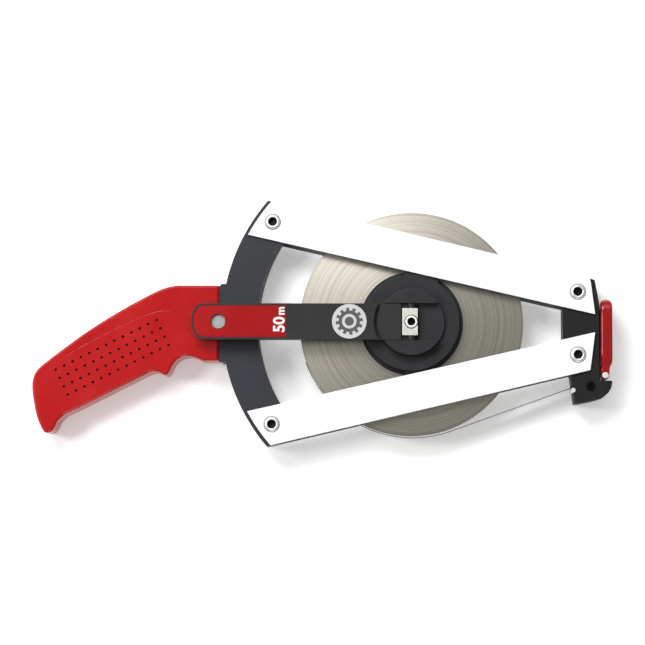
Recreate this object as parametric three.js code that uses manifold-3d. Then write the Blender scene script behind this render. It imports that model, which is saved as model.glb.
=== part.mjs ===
// Open-frame reel with a long steel measuring tape.
//
// The reel lies on its back: +Z is the reel's axis and points at the crank side, +X points at the
// tape's mouth, and the origin is where the reel's axis meets the surface that the frame rests on.
// Sizes are in millimetres. Inside the assembly group, heights are counted from the middle plane of
// the tape, so that front and back pieces mirror each other.

import * as THREE from 'three';
import { mergeVertices } from 'three/addons/utils/BufferGeometryUtils.js';
import Module from 'manifold-3d';

const wasm = await Module();
wasm.setup();

// ---------------------------------------------------------------- driving dimensions

const GAP = 0.3; // between pieces that bear on each other
const RUNNING = 0.3; // radial, round a shaft that turns
const BORE = 0.3; // radial, round a fastener in its hole

const TAPE = { width: 13, thickness: 0.4, coilRadius: 74.8, wrapLift: 1.7, runAngle: 19.9 };
const DRUM = { radius: 33.9, lip: 0.7, lipThickness: 1.6, pocketInner: 12, pocketOuter: 28, pocketDepth: 10 };
const PLATE = { radius: 31.9, thickness: 3, tabWidth: 22.6, tabReach: 46 };
const STRUT = { thickness: 2, innerOffset: 12.05, outerRear: 13.5, outerFront: 11.9, rearMargin: 2.4 };
const BOW = { outer: 126.7, width: 24, spread: 42 };
const NECK = { halfHeight: 26.2, length: 1.7, tongueLength: 24, tongueHalfHeight: 17, tongueHalf: 6.5 };
const RIVET = { rearAngle: 143.85, frontInset: 14.7, frontY: 21, shank: 3.4, head: 5.35, wall: 0.5,
  headHeight: 1.4, hollowDepth: 5 };
const HANDLE = { length: 124.6, thickness: 27, wall: 2.8, edge: 1.4, bossRadius: 4.2 };
const SCREW = { shank: 1.5, head: 3, headHeight: 1.8 };
const MOUTH = { face: 125.5, depth: 24.5, slotHeight: 2.6, slotSide: 0.6, edge: 0.8 };
const GUIDE = { inset: 18.5, radius: 1.5 };
const MOUTH_SCREW = { inset: 7.6, below: 3.2, shank: 1.1, head: 2.95, headHeight: 1.6 };
const CAP = { radius: 22.1, slotWidth: 24.8, rise: 2.6, peg: 2.5, pegRadius: 16, pegDepth: 4 };
const BLOCK = { left: -6.1, right: 4.2, halfWidth: 8.95, rise: 2.4 };
const AXLE = { radius: 3.6, head: 4.1, headHeight: 0.8, hollow: 2.7, hollowDepth: 5, clip: 6.2 };
const BUSH = { outer: 6.4, flange: 9, flangeHeight: 1 };
const COVER = { radius: 24, floor: 1.5, wall: 2.2 };
const ARM = { beyondKnob: 17.9, bulge: 5, inner: -6.9, halfWidth: 11.95, thickness: 9, neckThickness: 4.4,
  grooveWidth: 2.6, grooveDepth: 2.6, skin: 2.2, side: 2.2, earRadius: 2.6, earSpace: 0.3, pinRadius: 1.5,
  pinDepth: 4, bays: 4, rib: 2.5 };
const LABEL = { length: 63, rim: 1.45, thickness: 0.6, recess: 0.9 };
const MEDALLION = { x: -41.1, radius: 11.55, thickness: 0.6 };
const KNOB = { bore: 4.9, tubeWall: 1, bossWall: 0.8, sleeveWall: 1.3, flange: 1, drop: 0.7, pocketTop: 2.4,
  plugDepth: 2.6, plug: 1.5 };
const RING = { pinOut: 3.6, depth: 8, top: 16.8, halfWidth: 13, bar: 5, waist: 3.1, waistTop: 6.8,
  forkHalf: 10.2, loopBottom: 12.6, forkTop: 7.1 };
const RING_PIN = { radius: 1.5, head: 2.25, headHeight: 0.8 };
const FITTING = { barrel: 2.6, plate: 1.2, length: 12 };
const ANCHOR = { radius: 1.2, inset: 3.2, length: 11 };

// Heights above the tape's middle plane. Each layer rests on the one before it.
const LEVEL = {};
LEVEL.tape = TAPE.width / 2;
LEVEL.lipIn = LEVEL.tape + 0.2;
LEVEL.lipOut = LEVEL.lipIn + DRUM.lipThickness;
LEVEL.plateIn = LEVEL.lipOut + 0.4;
LEVEL.plateOut = LEVEL.plateIn + PLATE.thickness;
LEVEL.block = LEVEL.plateOut;
LEVEL.strutIn = LEVEL.plateOut + GAP;
LEVEL.strutOut = LEVEL.strutIn + STRUT.thickness;
LEVEL.rivetIn = LEVEL.strutOut + 0.1;
LEVEL.rivetOut = LEVEL.rivetIn + RIVET.headHeight;
LEVEL.armLow = LEVEL.rivetOut + 1;
LEVEL.hinge = LEVEL.armLow + ARM.thickness / 2;
LEVEL.armTop = LEVEL.armLow + ARM.thickness;
LEVEL.capTop = LEVEL.hinge + CAP.rise;
LEVEL.slotFloor = LEVEL.hinge - ARM.neckThickness / 2 - 0.5;
LEVEL.pitFloor = LEVEL.hinge - ARM.earRadius - 1;

// Places and radii that follow from the sizes above.
const radians = THREE.MathUtils.degToRad;
const along = (angle, radius) => [radius * Math.cos(angle), radius * Math.sin(angle)];

const neckX = -(BOW.outer + NECK.length);
const bowInner = BOW.outer - BOW.width;
const [rearX, rearY] = along(radians(RIVET.rearAngle), BOW.outer - BOW.width / 2 + 0.2);
const frontX = MOUTH.face - RIVET.frontInset;
const mouthBack = MOUTH.face - MOUTH.depth;

const knobX = neckX + 0.1;
const tubeRadius = KNOB.bore + KNOB.tubeWall;
const bossRadius = tubeRadius + RUNNING + KNOB.bossWall;
const sleeveInner = bossRadius + RUNNING;
const sleeveOuter = sleeveInner + KNOB.sleeveWall;

const armEnd = knobX - ARM.beyondKnob;
const armShoulder = armEnd + ARM.bulge;
const grooveInner = CAP.radius + RUNNING;
const armNeck = grooveInner + ARM.grooveWidth;
const earInner = BLOCK.halfWidth + ARM.earSpace;
const pinInner = BLOCK.halfWidth - ARM.pinDepth;

const FAR = 400; // longer than anything it cuts

// How many flat sides a round piece has, by its size.
const FINE = 60;
const ROUND = 24;
const SMALL = 14;

// ---------------------------------------------------------------- finishes

const finish = (color, roughness, metalness) =>
  new THREE.MeshStandardMaterial({ color, roughness, metalness });

const MATERIAL = {
  red: finish(0xb0232a, 0.32, 0),
  label: finish(0xb8262c, 0.4, 0),
  slate: finish(0x454852, 0.55, 0),
  white: finish(0xf1f2f2, 0.4, 0.1),
  black: finish(0x2b2b2c, 0.45, 0),
  charcoal: finish(0x3c3d3f, 0.5, 0),
  steel: finish(0xc9c8c2, 0.3, 0.9),
  tape: finish(0xbcb6a8, 0.38, 0.85),
  medal: finish(0xeeeeee, 0.45, 0),
  brass: finish(0xb89a5a, 0.35, 0.9),
};

// ---------------------------------------------------------------- solids

/** A closed three.js geometry as a solid, turned right side out. */
function solid(geometry) {
  const bare = geometry.clone();
  bare.deleteAttribute('normal');
  bare.deleteAttribute('uv');
  const merged = mergeVertices(bare, 1e-4);
  const points = merged.attributes.position.array;
  const corners = Uint32Array.from(merged.index.array);
  const kept = [];
  let volume = 0;
  for (let i = 0; i < corners.length; i += 3) {
    const [a, b, c] = [corners[i], corners[i + 1], corners[i + 2]];
    if (a === b || b === c || c === a) continue;
    kept.push(a, b, c);
    const p = [a, b, c].map((k) => new THREE.Vector3().fromArray(points, 3 * k));
    volume += p[0].dot(p[1].cross(p[2]));
  }
  if (volume < 0) {
    for (let i = 0; i < kept.length; i += 3) {
      [kept[i], kept[i + 1]] = [kept[i + 1], kept[i]];
    }
  }
  const mesh = new wasm.Mesh({
    numProp: 3,
    vertProperties: Float32Array.from(points),
    triVerts: Uint32Array.from(kept),
  });
  return new wasm.Manifold(mesh);
}

/** A solid's surface as a three.js geometry. */
function surface(body) {
  const mesh = body.getMesh();
  const geometry = new THREE.BufferGeometry();
  geometry.setAttribute('position', new THREE.BufferAttribute(Float32Array.from(mesh.vertProperties), 3));
  geometry.setIndex(Array.from(mesh.triVerts));
  geometry.computeVertexNormals();
  return geometry;
}

const cut = (body, ...tools) => tools.reduce((left, tool) => left.subtract(tool), body);
const join = (body, ...more) => more.reduce((sum, piece) => sum.add(piece), body);

/** An outline given as [x, y] pairs. */
const outline = (points) => new THREE.Shape(points.map(([x, y]) => new THREE.Vector2(x, y)));

/** An outline pushed straight up from one height to another. */
function prism(shape, low, high, edge = 0) {
  const geometry = new THREE.ExtrudeGeometry(shape, {
    depth: high - low - 2 * edge,
    curveSegments: 6,
    bevelEnabled: edge > 0,
    bevelThickness: edge,
    bevelSize: edge,
    bevelOffset: -edge,
    bevelSegments: 1,
  });
  return solid(geometry.translate(0, 0, low + edge));
}

/** A box between two corners. */
function block([x0, y0, z0], [x1, y1, z1]) {
  const box = new THREE.BoxGeometry(x1 - x0, y1 - y0, z1 - z0);
  return solid(box.translate((x0 + x1) / 2, (y0 + y1) / 2, (z0 + z1) / 2));
}

/** A round bar along Z. */
function bar(radius, low, high, x = 0, y = 0, sides = ROUND) {
  const geometry = new THREE.CylinderGeometry(radius, radius, high - low, sides);
  return solid(geometry.rotateX(Math.PI / 2).translate(x, y, (low + high) / 2));
}

/** A profile of [radius, height] pairs turned about Z. It closes on itself or ends on the axis. */
function turned(profile, sides = ROUND) {
  const points = profile.map(([r, z]) => new THREE.Vector2(r, z));
  const closed = profile[0][0] > 0 ? [...points, points[0].clone()] : points;
  return solid(new THREE.LatheGeometry(closed, sides).rotateX(Math.PI / 2));
}

/** A ring about Z. */
const ring = (inner, outer, low, high, sides = ROUND) =>
  turned([[inner, low], [outer, low], [outer, high], [inner, high]], sides);

/** What is left of an upright body once its sides are drawn in by a distance all round. */
function drawnIn(body, distance) {
  const steps = 8;
  let left = body;
  for (let i = 0; i < steps; i += 1) {
    const [x, y] = along((2 * Math.PI * i) / steps, distance);
    left = left.intersect(body.translate([x, y, 0]));
  }
  return left;
}

const assembly = new THREE.Group();
assembly.position.z = LEVEL.rivetOut;

/** Adds a named piece to the assembly, at its place. */
function piece(name, body, material, place = [0, 0, 0], turn = [0, 0, 0]) {
  const mesh = new THREE.Mesh(surface(body), material);
  mesh.name = name;
  mesh.position.set(...place);
  mesh.rotation.set(...turn);
  assembly.add(mesh);
}

// ---------------------------------------------------------------- frame: struts and rivets

/** A point beside the strut's centre line, which runs through its two rivets. */
function besideStrut(x, offset) {
  const slope = (RIVET.frontY - rearY) / (frontX - rearX);
  const lean = Math.hypot(1, slope);
  return [x, rearY + slope * (x - rearX) + offset * lean];
}

/** Where a line beside the strut's centre line crosses a circle about the reel's axis, at the rear. */
function strutAtRadius(offset, radius) {
  const [, y0] = besideStrut(0, offset);
  const slope = besideStrut(1, offset)[1] - y0;
  const a = 1 + slope * slope;
  const b = slope * y0;
  const x = (-b - Math.sqrt(b * b - a * (y0 * y0 - radius * radius))) / a;
  return besideStrut(x, offset);
}

/** The upper strut's outline: it narrows a little to the front, and its rear end follows the bow. */
function strutOutline() {
  const rearRadius = BOW.outer - STRUT.rearMargin;
  const [innerX, innerY] = strutAtRadius(-STRUT.innerOffset, rearRadius);
  const [outerX, outerY] = strutAtRadius(STRUT.outerRear, rearRadius);
  const innerAngle = Math.atan2(innerY, innerX);
  const outerAngle = Math.atan2(outerY, outerX);
  const steps = 6;
  const rear = [];
  for (let i = 0; i <= steps; i += 1) {
    rear.push(along(innerAngle + ((outerAngle - innerAngle) * i) / steps, rearRadius));
  }
  const frontOuter = besideStrut(frontX + 8.1, STRUT.outerFront);
  const frontInner = besideStrut(frontX + 11.4, -STRUT.innerOffset);
  return outline([...rear, frontOuter, frontInner]);
}

const RIVET_PLACES = [
  ['rear_upper', rearX, rearY],
  ['rear_lower', rearX, -rearY],
  ['front_upper', frontX, RIVET.frontY],
  ['front_lower', frontX, -RIVET.frontY],
];

const rivetHoles = (low, high) =>
  RIVET_PLACES.map(([, x, y]) => bar(RIVET.shank + BORE, low, high, x, y, SMALL));

for (const [face, low] of [['front', LEVEL.strutIn], ['back', -LEVEL.strutOut]]) {
  const upper = cut(prism(strutOutline(), low, low + STRUT.thickness), ...rivetHoles(-FAR, FAR));
  piece(`strut_${face}_upper`, upper, MATERIAL.white);
  piece(`strut_${face}_lower`, upper.mirror([0, 1, 0]), MATERIAL.white);
}

/** A tubular rivet: a flat-headed shank, hollow a short way in from both ends. */
function rivetBody() {
  const top = LEVEL.rivetOut;
  const floor = top - RIVET.hollowDepth;
  const hollow = RIVET.shank - RIVET.wall;
  const half = [
    [RIVET.shank, LEVEL.rivetIn], [RIVET.head, LEVEL.rivetIn], [RIVET.head, top - 0.4],
    [RIVET.head - 0.4, top], [hollow, top], [hollow, floor], [0, floor],
  ];
  const lower = half.map(([r, z]) => [r, -z]).reverse();
  return turned([...lower, ...half], ROUND);
}

for (const [name, x, y] of RIVET_PLACES) {
  piece(`rivet_${name}`, rivetBody(), MATERIAL.steel, [x, y, 0]);
}

// ---------------------------------------------------------------- frame: rear bow with its neck

const neckHole = bar(sleeveOuter + 0.8, -FAR, FAR, knobX, 0, ROUND);

/** Places of the handle's screws: two through the bow's tongue and one far down the grip. */
const HANDLE_SCREWS = [
  [neckX - 0.74 * NECK.tongueLength, 0.66 * NECK.tongueHalfHeight],
  [neckX - 0.74 * NECK.tongueLength, -0.66 * NECK.tongueHalfHeight],
  [neckX - 0.79 * HANDLE.length, -42],
];

/** The rear bow: an arc that ends under the struts' outer edges, with a tongue into the handle. */
function bowBody() {
  const start = Math.PI - radians(BOW.spread);
  const end = Math.PI + radians(BOW.spread);
  const arc = new THREE.Shape();
  arc.absarc(0, 0, BOW.outer, start, end, false);
  arc.absarc(0, 0, bowInner, end, start, true);
  const depth = 2 * LEVEL.block;
  const sector = new THREE.ExtrudeGeometry(arc, { depth, curveSegments: 26, bevelEnabled: false });
  const [x0, y0] = besideStrut(-BOW.outer - 30, STRUT.outerRear);
  const [x1, y1] = besideStrut(0, STRUT.outerRear);
  const under = outline([[x0, y0], [x1, y1], [x1, -y1], [x0, -y0]]);
  const trimmed = solid(sector.translate(0, 0, -LEVEL.block)).intersect(prism(under, -FAR, FAR));
  const neck = prism(outline([
    [neckX, -NECK.halfHeight + 1.5], [neckX + 1.5, -NECK.halfHeight], [-BOW.outer + 10, -NECK.halfHeight],
    [-BOW.outer + 10, NECK.halfHeight], [neckX + 1.5, NECK.halfHeight], [neckX, NECK.halfHeight - 1.5],
  ]), -LEVEL.block, LEVEL.block);
  const tongue = block(
    [neckX - NECK.tongueLength, -NECK.tongueHalfHeight, -NECK.tongueHalf],
    [-BOW.outer + 10, NECK.tongueHalfHeight, NECK.tongueHalf],
  );
  const screwHoles = HANDLE_SCREWS.slice(0, 2)
    .map(([x, y]) => bar(SCREW.shank + BORE, -FAR, FAR, x, y, SMALL));
  return cut(join(trimmed, neck, tongue), neckHole, ...rivetHoles(-FAR, FAR), ...screwHoles);
}

piece('rear_bow', bowBody(), MATERIAL.slate);

// ---------------------------------------------------------------- frame: handle

/** The handle's outline: distances behind the neck, and heights above the reel's axis. */
function handleOutline() {
  const stretch = HANDLE.length / 124.6;
  const front = neckX - GAP;
  const at = ([u, v]) => new THREE.Vector2(front - u * stretch, v);
  const shape = new THREE.Shape();
  shape.moveTo(front, 25);
  shape.lineTo(...at([29, 25]).toArray());
  shape.splineThru([[36, 23.4], [43.8, 20.1], [58.9, 12], [75.9, 2], [90.2, -7.4], [106.2, -19.2],
    [117.5, -28]].map(at));
  shape.splineThru([[122.4, -33], [124.6, -40], [124.1, -48.7], [121.5, -62.1], [117.8, -71]].map(at));
  shape.splineThru([[115.6, -73.6], [112, -73.4], [109.4, -70.4], [107.2, -65.6], [102.7, -61.6]].map(at));
  shape.splineThru([[90.2, -55.7], [70.6, -45.7], [54.4, -37.6], [46, -33.4], [40.6, -32.6]].map(at));
  shape.lineTo(...at([35.6, -35.2]).toArray());
  shape.splineThru([[33.4, -33.8], [30.3, -27.6], [25.9, -23.6], [19.6, -22.2], [14.3, -23.5]].map(at));
  shape.lineTo(...at([10.3, -25.4]).toArray());
  shape.lineTo(front, -25.4);
  return shape;
}

/** The handle as one hollow body. The two shells are its halves. */
function handleBody() {
  const half = HANDLE.thickness / 2;
  const geometry = new THREE.ExtrudeGeometry(handleOutline(), {
    depth: HANDLE.thickness - 2 * HANDLE.edge,
    curveSegments: 2,
    bevelThickness: HANDLE.edge,
    bevelSize: HANDLE.edge,
    bevelOffset: -HANDLE.edge,
    bevelSegments: 1,
  });
  const envelope = solid(geometry.translate(0, 0, -half + HANDLE.edge));
  const roof = half - HANDLE.wall;
  const hollow = drawnIn(envelope, HANDLE.wall).intersect(block([-FAR, -FAR, -roof], [FAR, FAR, roof]));
  const tongueRoom = block(
    [neckX - NECK.tongueLength - GAP, -NECK.tongueHalfHeight - GAP, -NECK.tongueHalf - GAP],
    [neckX + 5, NECK.tongueHalfHeight + GAP, NECK.tongueHalf + GAP],
  );
  const collar = bar(sleeveOuter + 3.4, -half + 1, half - 1, knobX, 0, ROUND);
  const bosses = HANDLE_SCREWS.map(([x, y]) => bar(HANDLE.bossRadius, -half + 1, half - 1, x, y, SMALL));
  const filled = join(cut(envelope, hollow), collar.intersect(envelope), ...bosses);
  return cut(filled, tongueRoom, neckHole);
}

/** The handle's two shells, parted at the middle plane, with the screws' holes. */
function handleShells() {
  const half = HANDLE.thickness / 2;
  const whole = handleBody();
  const split = GAP / 2;
  const front = whole.intersect(block([-FAR, -FAR, split], [FAR, FAR, FAR]));
  const back = whole.intersect(block([-FAR, -FAR, -FAR], [FAR, FAR, -split]));
  const holes = HANDLE_SCREWS.map(([x, y]) => bar(SCREW.shank + BORE, -FAR, half - 4, x, y, SMALL));
  const sinks = HANDLE_SCREWS.map(([x, y]) =>
    bar(SCREW.head + BORE, -FAR, -half + SCREW.headHeight + 1, x, y, SMALL));
  return [cut(front, ...holes), cut(back, ...holes, ...sinks)];
}

const [handleFront, handleBack] = handleShells();
piece('handle_front_shell', handleFront, MATERIAL.red);
piece('handle_back_shell', handleBack, MATERIAL.red);

/** A cross-slotted screw with its head at the low end. */
function screwBody(shank, head, headHeight, low, high) {
  const slot = block([-head * 0.7, -0.4, low - 1], [head * 0.7, 0.4, low + headHeight * 0.4]);
  const body = turned([[0, low], [head - 0.4, low], [head, low + 0.5], [head, low + headHeight],
    [shank, low + headHeight], [shank, high], [0, high]], SMALL);
  return cut(body, slot);
}

HANDLE_SCREWS.forEach(([x, y], i) => {
  const low = -HANDLE.thickness / 2 + 0.8;
  const high = HANDLE.thickness / 2 - 5;
  piece(`handle_screw_${i + 1}`, screwBody(SCREW.shank, SCREW.head, SCREW.headHeight, low, high),
    MATERIAL.steel, [x, y, 0]);
});

// ---------------------------------------------------------------- the tape's line

const wrapRadius = TAPE.coilRadius + TAPE.wrapLift;
const runAngle = radians(TAPE.runAngle);
const leaves = [wrapRadius * Math.sin(runAngle), -wrapRadius * Math.cos(runAngle)];

/** A point on the tape's straight run at a given x, moved square to the run by an offset. */
function onRun(x, offset = 0) {
  const y = leaves[1] + (x - leaves[0]) * Math.tan(runAngle);
  return [x - offset * Math.sin(runAngle), y + offset * Math.cos(runAngle)];
}

const ringPin = onRun(MOUTH.face + RING.pinOut);

// ---------------------------------------------------------------- frame: mouthpiece

/** The mouthpiece's outline, from its upper end under the strut round to its chin under the tape. */
function mouthOutline() {
  const topRear = besideStrut(mouthBack + 3, STRUT.outerFront - 0.8);
  const topFront = besideStrut(frontX + 7.9, STRUT.outerFront - 0.8);
  const chin = ringPin[1] - 3.5;
  return outline([
    [mouthBack, topRear[1] - 3], topRear, topFront, [MOUTH.face - 3.2, 29], [MOUTH.face - 1.4, 19.4],
    [MOUTH.face - 0.5, 14.4], [MOUTH.face, 3.1], [MOUTH.face, chin],
    [MOUTH.face + 7.6, chin], [MOUTH.face + 8.2, chin - 0.8], [MOUTH.face + 7.4, chin - 4.9],
    [MOUTH.face + 5.6, chin - 7.9], [MOUTH.face + 1.8, chin - 11.3], [MOUTH.face - 4.6, chin - 13.3],
    [MOUTH.face - 13.8, chin - 15.2], [MOUTH.face - 16.8, chin - 15.5],
    [MOUTH.face - 19.4, chin + 2.9], [mouthBack + 0.5, -27], [mouthBack, -20],
  ]);
}

/** The mouthpiece's two shells with the tape's slot, the guide pin's groove and the screw's hole. */
function mouthShells() {
  const side = LEVEL.tape + MOUTH.slotSide;
  const reach = MOUTH.slotHeight / 2;
  const slot = prism(outline([
    onRun(mouthBack - 20, -reach), onRun(MOUTH.face + 20, -reach),
    onRun(MOUTH.face + 20, reach), onRun(mouthBack - 20, reach),
  ]), -side, side);
  const groove = bar(GUIDE.radius + BORE, -FAR, FAR, ...guidePlace, SMALL);
  const screw = bar(MOUTH_SCREW.shank + BORE, -LEVEL.block + 2, FAR, ...screwPlace, SMALL);
  const whole = cut(prism(mouthOutline(), -LEVEL.block, LEVEL.block, MOUTH.edge), slot, groove, screw,
    ...rivetHoles(-FAR, FAR));
  const front = whole.intersect(block([-FAR, -FAR, GAP / 2], [FAR, FAR, FAR]));
  const back = whole.intersect(block([-FAR, -FAR, -FAR], [FAR, FAR, -GAP / 2]));
  return [front, back];
}

const guidePlace = onRun(MOUTH.face - GUIDE.inset, -(GUIDE.radius + TAPE.thickness / 2 + 0.3));
const screwPlace = onRun(MOUTH.face - MOUTH_SCREW.inset, -MOUTH_SCREW.below);
const [mouthFrontShell, mouthBackShell] = mouthShells();
piece('mouth_front_shell', mouthFrontShell, MATERIAL.black);
piece('mouth_back_shell', mouthBackShell, MATERIAL.black);
piece('mouth_screw',
  screwBody(MOUTH_SCREW.shank, MOUTH_SCREW.head, MOUTH_SCREW.headHeight,
    -LEVEL.block - 0.1 - MOUTH_SCREW.headHeight, LEVEL.block - 4),
  MATERIAL.black, [...screwPlace, 0], [Math.PI, 0, 0]);
piece('tape_guide_pin', bar(GUIDE.radius, -LEVEL.block + 0.3, LEVEL.block - 0.3, 0, 0, SMALL), MATERIAL.steel,
  [...guidePlace, 0]);

// ---------------------------------------------------------------- frame: bearing plates, bush and cover

/** Two tabs that reach out under the struts, square to them. */
function plateTabs(low, high) {
  const [x0, y0] = besideStrut(0, 0);
  const [x1, y1] = besideStrut(1, 0);
  const square = Math.atan2(y1 - y0, x1 - x0);
  const tab = new THREE.BoxGeometry(PLATE.tabWidth, PLATE.tabReach - DRUM.radius / 2, high - low);
  tab.translate(0, (PLATE.tabReach + DRUM.radius / 2) / 2, (low + high) / 2);
  const upper = solid(tab.rotateZ(square));
  return [upper, upper.mirror([0, 1, 0])];
}

const frontBore = CAP.radius + RUNNING;
const frontPlate = join(ring(frontBore - 1, PLATE.radius, LEVEL.plateIn, LEVEL.rivetOut, FINE),
  ...plateTabs(LEVEL.plateIn, LEVEL.plateOut));
piece('bearing_plate_front', cut(frontPlate, bar(frontBore, -FAR, FAR, 0, 0, FINE)), MATERIAL.charcoal);

const backPlate = join(bar(PLATE.radius, -LEVEL.plateOut, -LEVEL.plateIn, 0, 0, FINE),
  ...plateTabs(-LEVEL.plateOut, -LEVEL.plateIn));
piece('bearing_plate_back', cut(backPlate, bar(BUSH.outer + 0.2, -FAR, FAR, 0, 0, ROUND)), MATERIAL.charcoal);

piece('axle_bush', turned([
  [AXLE.radius + RUNNING, -LEVEL.plateIn], [BUSH.outer, -LEVEL.plateIn], [BUSH.outer, -LEVEL.plateOut - 0.2],
  [BUSH.flange, -LEVEL.plateOut - 0.2], [BUSH.flange, -LEVEL.plateOut - 0.2 - BUSH.flangeHeight],
  [AXLE.radius + RUNNING, -LEVEL.plateOut - 0.2 - BUSH.flangeHeight],
], ROUND), MATERIAL.brass);

const coverRoof = -LEVEL.plateOut - GAP;
piece('back_cover', turned([
  [0, -LEVEL.rivetOut], [COVER.radius - 0.8, -LEVEL.rivetOut], [COVER.radius, -LEVEL.rivetOut + 0.8],
  [COVER.radius, coverRoof], [COVER.radius - COVER.wall, coverRoof],
  [COVER.radius - COVER.wall, -LEVEL.rivetOut + COVER.floor], [0, -LEVEL.rivetOut + COVER.floor],
], FINE), MATERIAL.charcoal);

// ---------------------------------------------------------------- reel

const pegPlaces = [[0, CAP.pegRadius], [0, -CAP.pegRadius]];
const anchorPlace = along(radians(225), DRUM.radius - ANCHOR.inset);

/** The spool: a drum with low lips, hollowed from the back. */
function spoolBody() {
  const body = turned([
    [AXLE.radius + BORE, -LEVEL.lipOut], [DRUM.radius + DRUM.lip, -LEVEL.lipOut],
    [DRUM.radius + DRUM.lip, -LEVEL.lipIn], [DRUM.radius, -LEVEL.lipIn], [DRUM.radius, LEVEL.lipIn],
    [DRUM.radius + DRUM.lip, LEVEL.lipIn], [DRUM.radius + DRUM.lip, LEVEL.lipOut],
    [AXLE.radius + BORE, LEVEL.lipOut],
  ], FINE);
  const pocket = ring(DRUM.pocketInner, DRUM.pocketOuter, -FAR, -LEVEL.lipOut + DRUM.pocketDepth, ROUND);
  const pegHoles = pegPlaces.map(([x, y]) => bar(CAP.peg + BORE, 0, FAR, x, y, SMALL));
  const anchorHole = bar(ANCHOR.radius + BORE, -ANCHOR.length / 2 - 0.5, FAR, ...anchorPlace, SMALL);
  return cut(body, pocket, ...pegHoles, anchorHole);
}

piece('spool', spoolBody(), MATERIAL.black);
piece('tape_anchor_pin', bar(ANCHOR.radius, -ANCHOR.length / 2, ANCHOR.length / 2, 0, 0, SMALL),
  MATERIAL.steel, [...anchorPlace, 0]);
piece('tape_coil', ring(DRUM.radius + 0.25, TAPE.coilRadius, -LEVEL.tape, LEVEL.tape, FINE), MATERIAL.tape);

/** The hub cap: a thick disc with a slot for the crank, a pit for the hinge, and two driving pegs. */
function capBody() {
  const low = LEVEL.lipOut + 0.1;
  const disc = turned([
    [AXLE.radius + BORE, low], [CAP.radius, low], [CAP.radius, LEVEL.capTop - 0.6],
    [CAP.radius - 0.6, LEVEL.capTop], [AXLE.radius + BORE, LEVEL.capTop],
  ], FINE);
  const halfSlot = CAP.slotWidth / 2;
  const slot = block([-FAR, -halfSlot, LEVEL.slotFloor], [FAR, halfSlot, FAR]);
  const pit = block([ARM.inner - 0.7, -halfSlot, LEVEL.pitFloor], [BLOCK.right + 0.8, halfSlot, FAR]);
  const pegs = pegPlaces.map(([x, y]) => bar(CAP.peg, low - CAP.pegDepth, low + 1, x, y, SMALL));
  return join(cut(disc, slot, pit), ...pegs);
}

piece('hub_cap', capBody(), MATERIAL.charcoal);

/** The steel block that the crank's two stub pins stand in. */
function hingeBlockBody() {
  const low = LEVEL.pitFloor + 0.1;
  const side = BLOCK.halfWidth;
  const body = block([BLOCK.left, -side, low], [BLOCK.right, side, LEVEL.hinge + BLOCK.rise]);
  return cut(body, bar(AXLE.radius + BORE, -FAR, FAR), pinHole(side + 1), pinHole(-side - 1));
}

/** A hole for a stub pin, from near the axle out to a given place along Y, at the hinge's height. */
function pinHole(to) {
  const from = Math.sign(to) * (pinInner - 0.2);
  const radius = ARM.pinRadius + 0.15;
  const geometry = new THREE.CylinderGeometry(radius, radius, Math.abs(to - from), SMALL);
  return solid(geometry.translate(0, (from + to) / 2, LEVEL.hinge));
}

piece('hinge_block', hingeBlockBody(), MATERIAL.steel);

const axleTop = LEVEL.hinge + BLOCK.rise + 0.1 + AXLE.headHeight;
const axleLow = -LEVEL.plateOut - 0.2 - BUSH.flangeHeight - 0.1;
piece('axle', turned([
  [0, axleLow - 0.6], [AXLE.radius - 0.7, axleLow - 0.6], [AXLE.radius - 0.7, axleLow],
  [AXLE.radius, axleLow], [AXLE.radius, axleTop - AXLE.headHeight], [AXLE.head, axleTop - AXLE.headHeight],
  [AXLE.head, axleTop - 0.3], [AXLE.head - 0.3, axleTop], [AXLE.hollow, axleTop],
  [AXLE.hollow, axleTop - AXLE.hollowDepth], [0, axleTop - AXLE.hollowDepth],
], ROUND), MATERIAL.steel);

const clipRing = ring(AXLE.radius - 0.5, AXLE.clip, -0.25, 0.25, SMALL);
piece('axle_clip', cut(clipRing, block([0, -1.2, -1], [AXLE.clip + 1, 1.2, 1])), MATERIAL.steel,
  [0, 0, axleLow - 0.3]);

for (const [name, side] of [['upper', 1], ['lower', -1]]) {
  const length = ARM.halfWidth - 0.2 - pinInner;
  piece(`pivot_pin_${name}`, bar(ARM.pinRadius, -length / 2, length / 2, 0, 0, SMALL), MATERIAL.steel,
    [0, side * (pinInner + length / 2), LEVEL.hinge], [Math.PI / 2, 0, 0]);
}

// ---------------------------------------------------------------- crank

const knobLow = LEVEL.armLow - KNOB.drop;
const labelEnd = armEnd + LABEL.length;

/** The crank's flat outline, drawn in by a margin: straight sides and an arched outer end. */
function armOutline(right, margin = 0) {
  const half = ARM.halfWidth - margin;
  const radius = (ARM.halfWidth ** 2 + ARM.bulge ** 2) / (2 * ARM.bulge);
  const centre = armEnd + radius;
  const spread = Math.asin(half / radius) - 0.12;
  const inner = radius - margin;
  const end = new THREE.EllipseCurve(centre, 0, inner, inner, Math.PI - spread, Math.PI + spread);
  const corner = armShoulder + 3.2;
  const shape = new THREE.Shape([new THREE.Vector2(right, half), new THREE.Vector2(corner, half)]);
  const bend = armShoulder + 0.3 + margin * 0.2;
  const [first] = end.getPoints(8);
  shape.quadraticCurveTo(bend, half, first.x, first.y);
  shape.splineThru(end.getPoints(8).slice(1));
  shape.quadraticCurveTo(bend, -half, corner, -half);
  shape.lineTo(right, -half);
  return shape;
}

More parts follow.
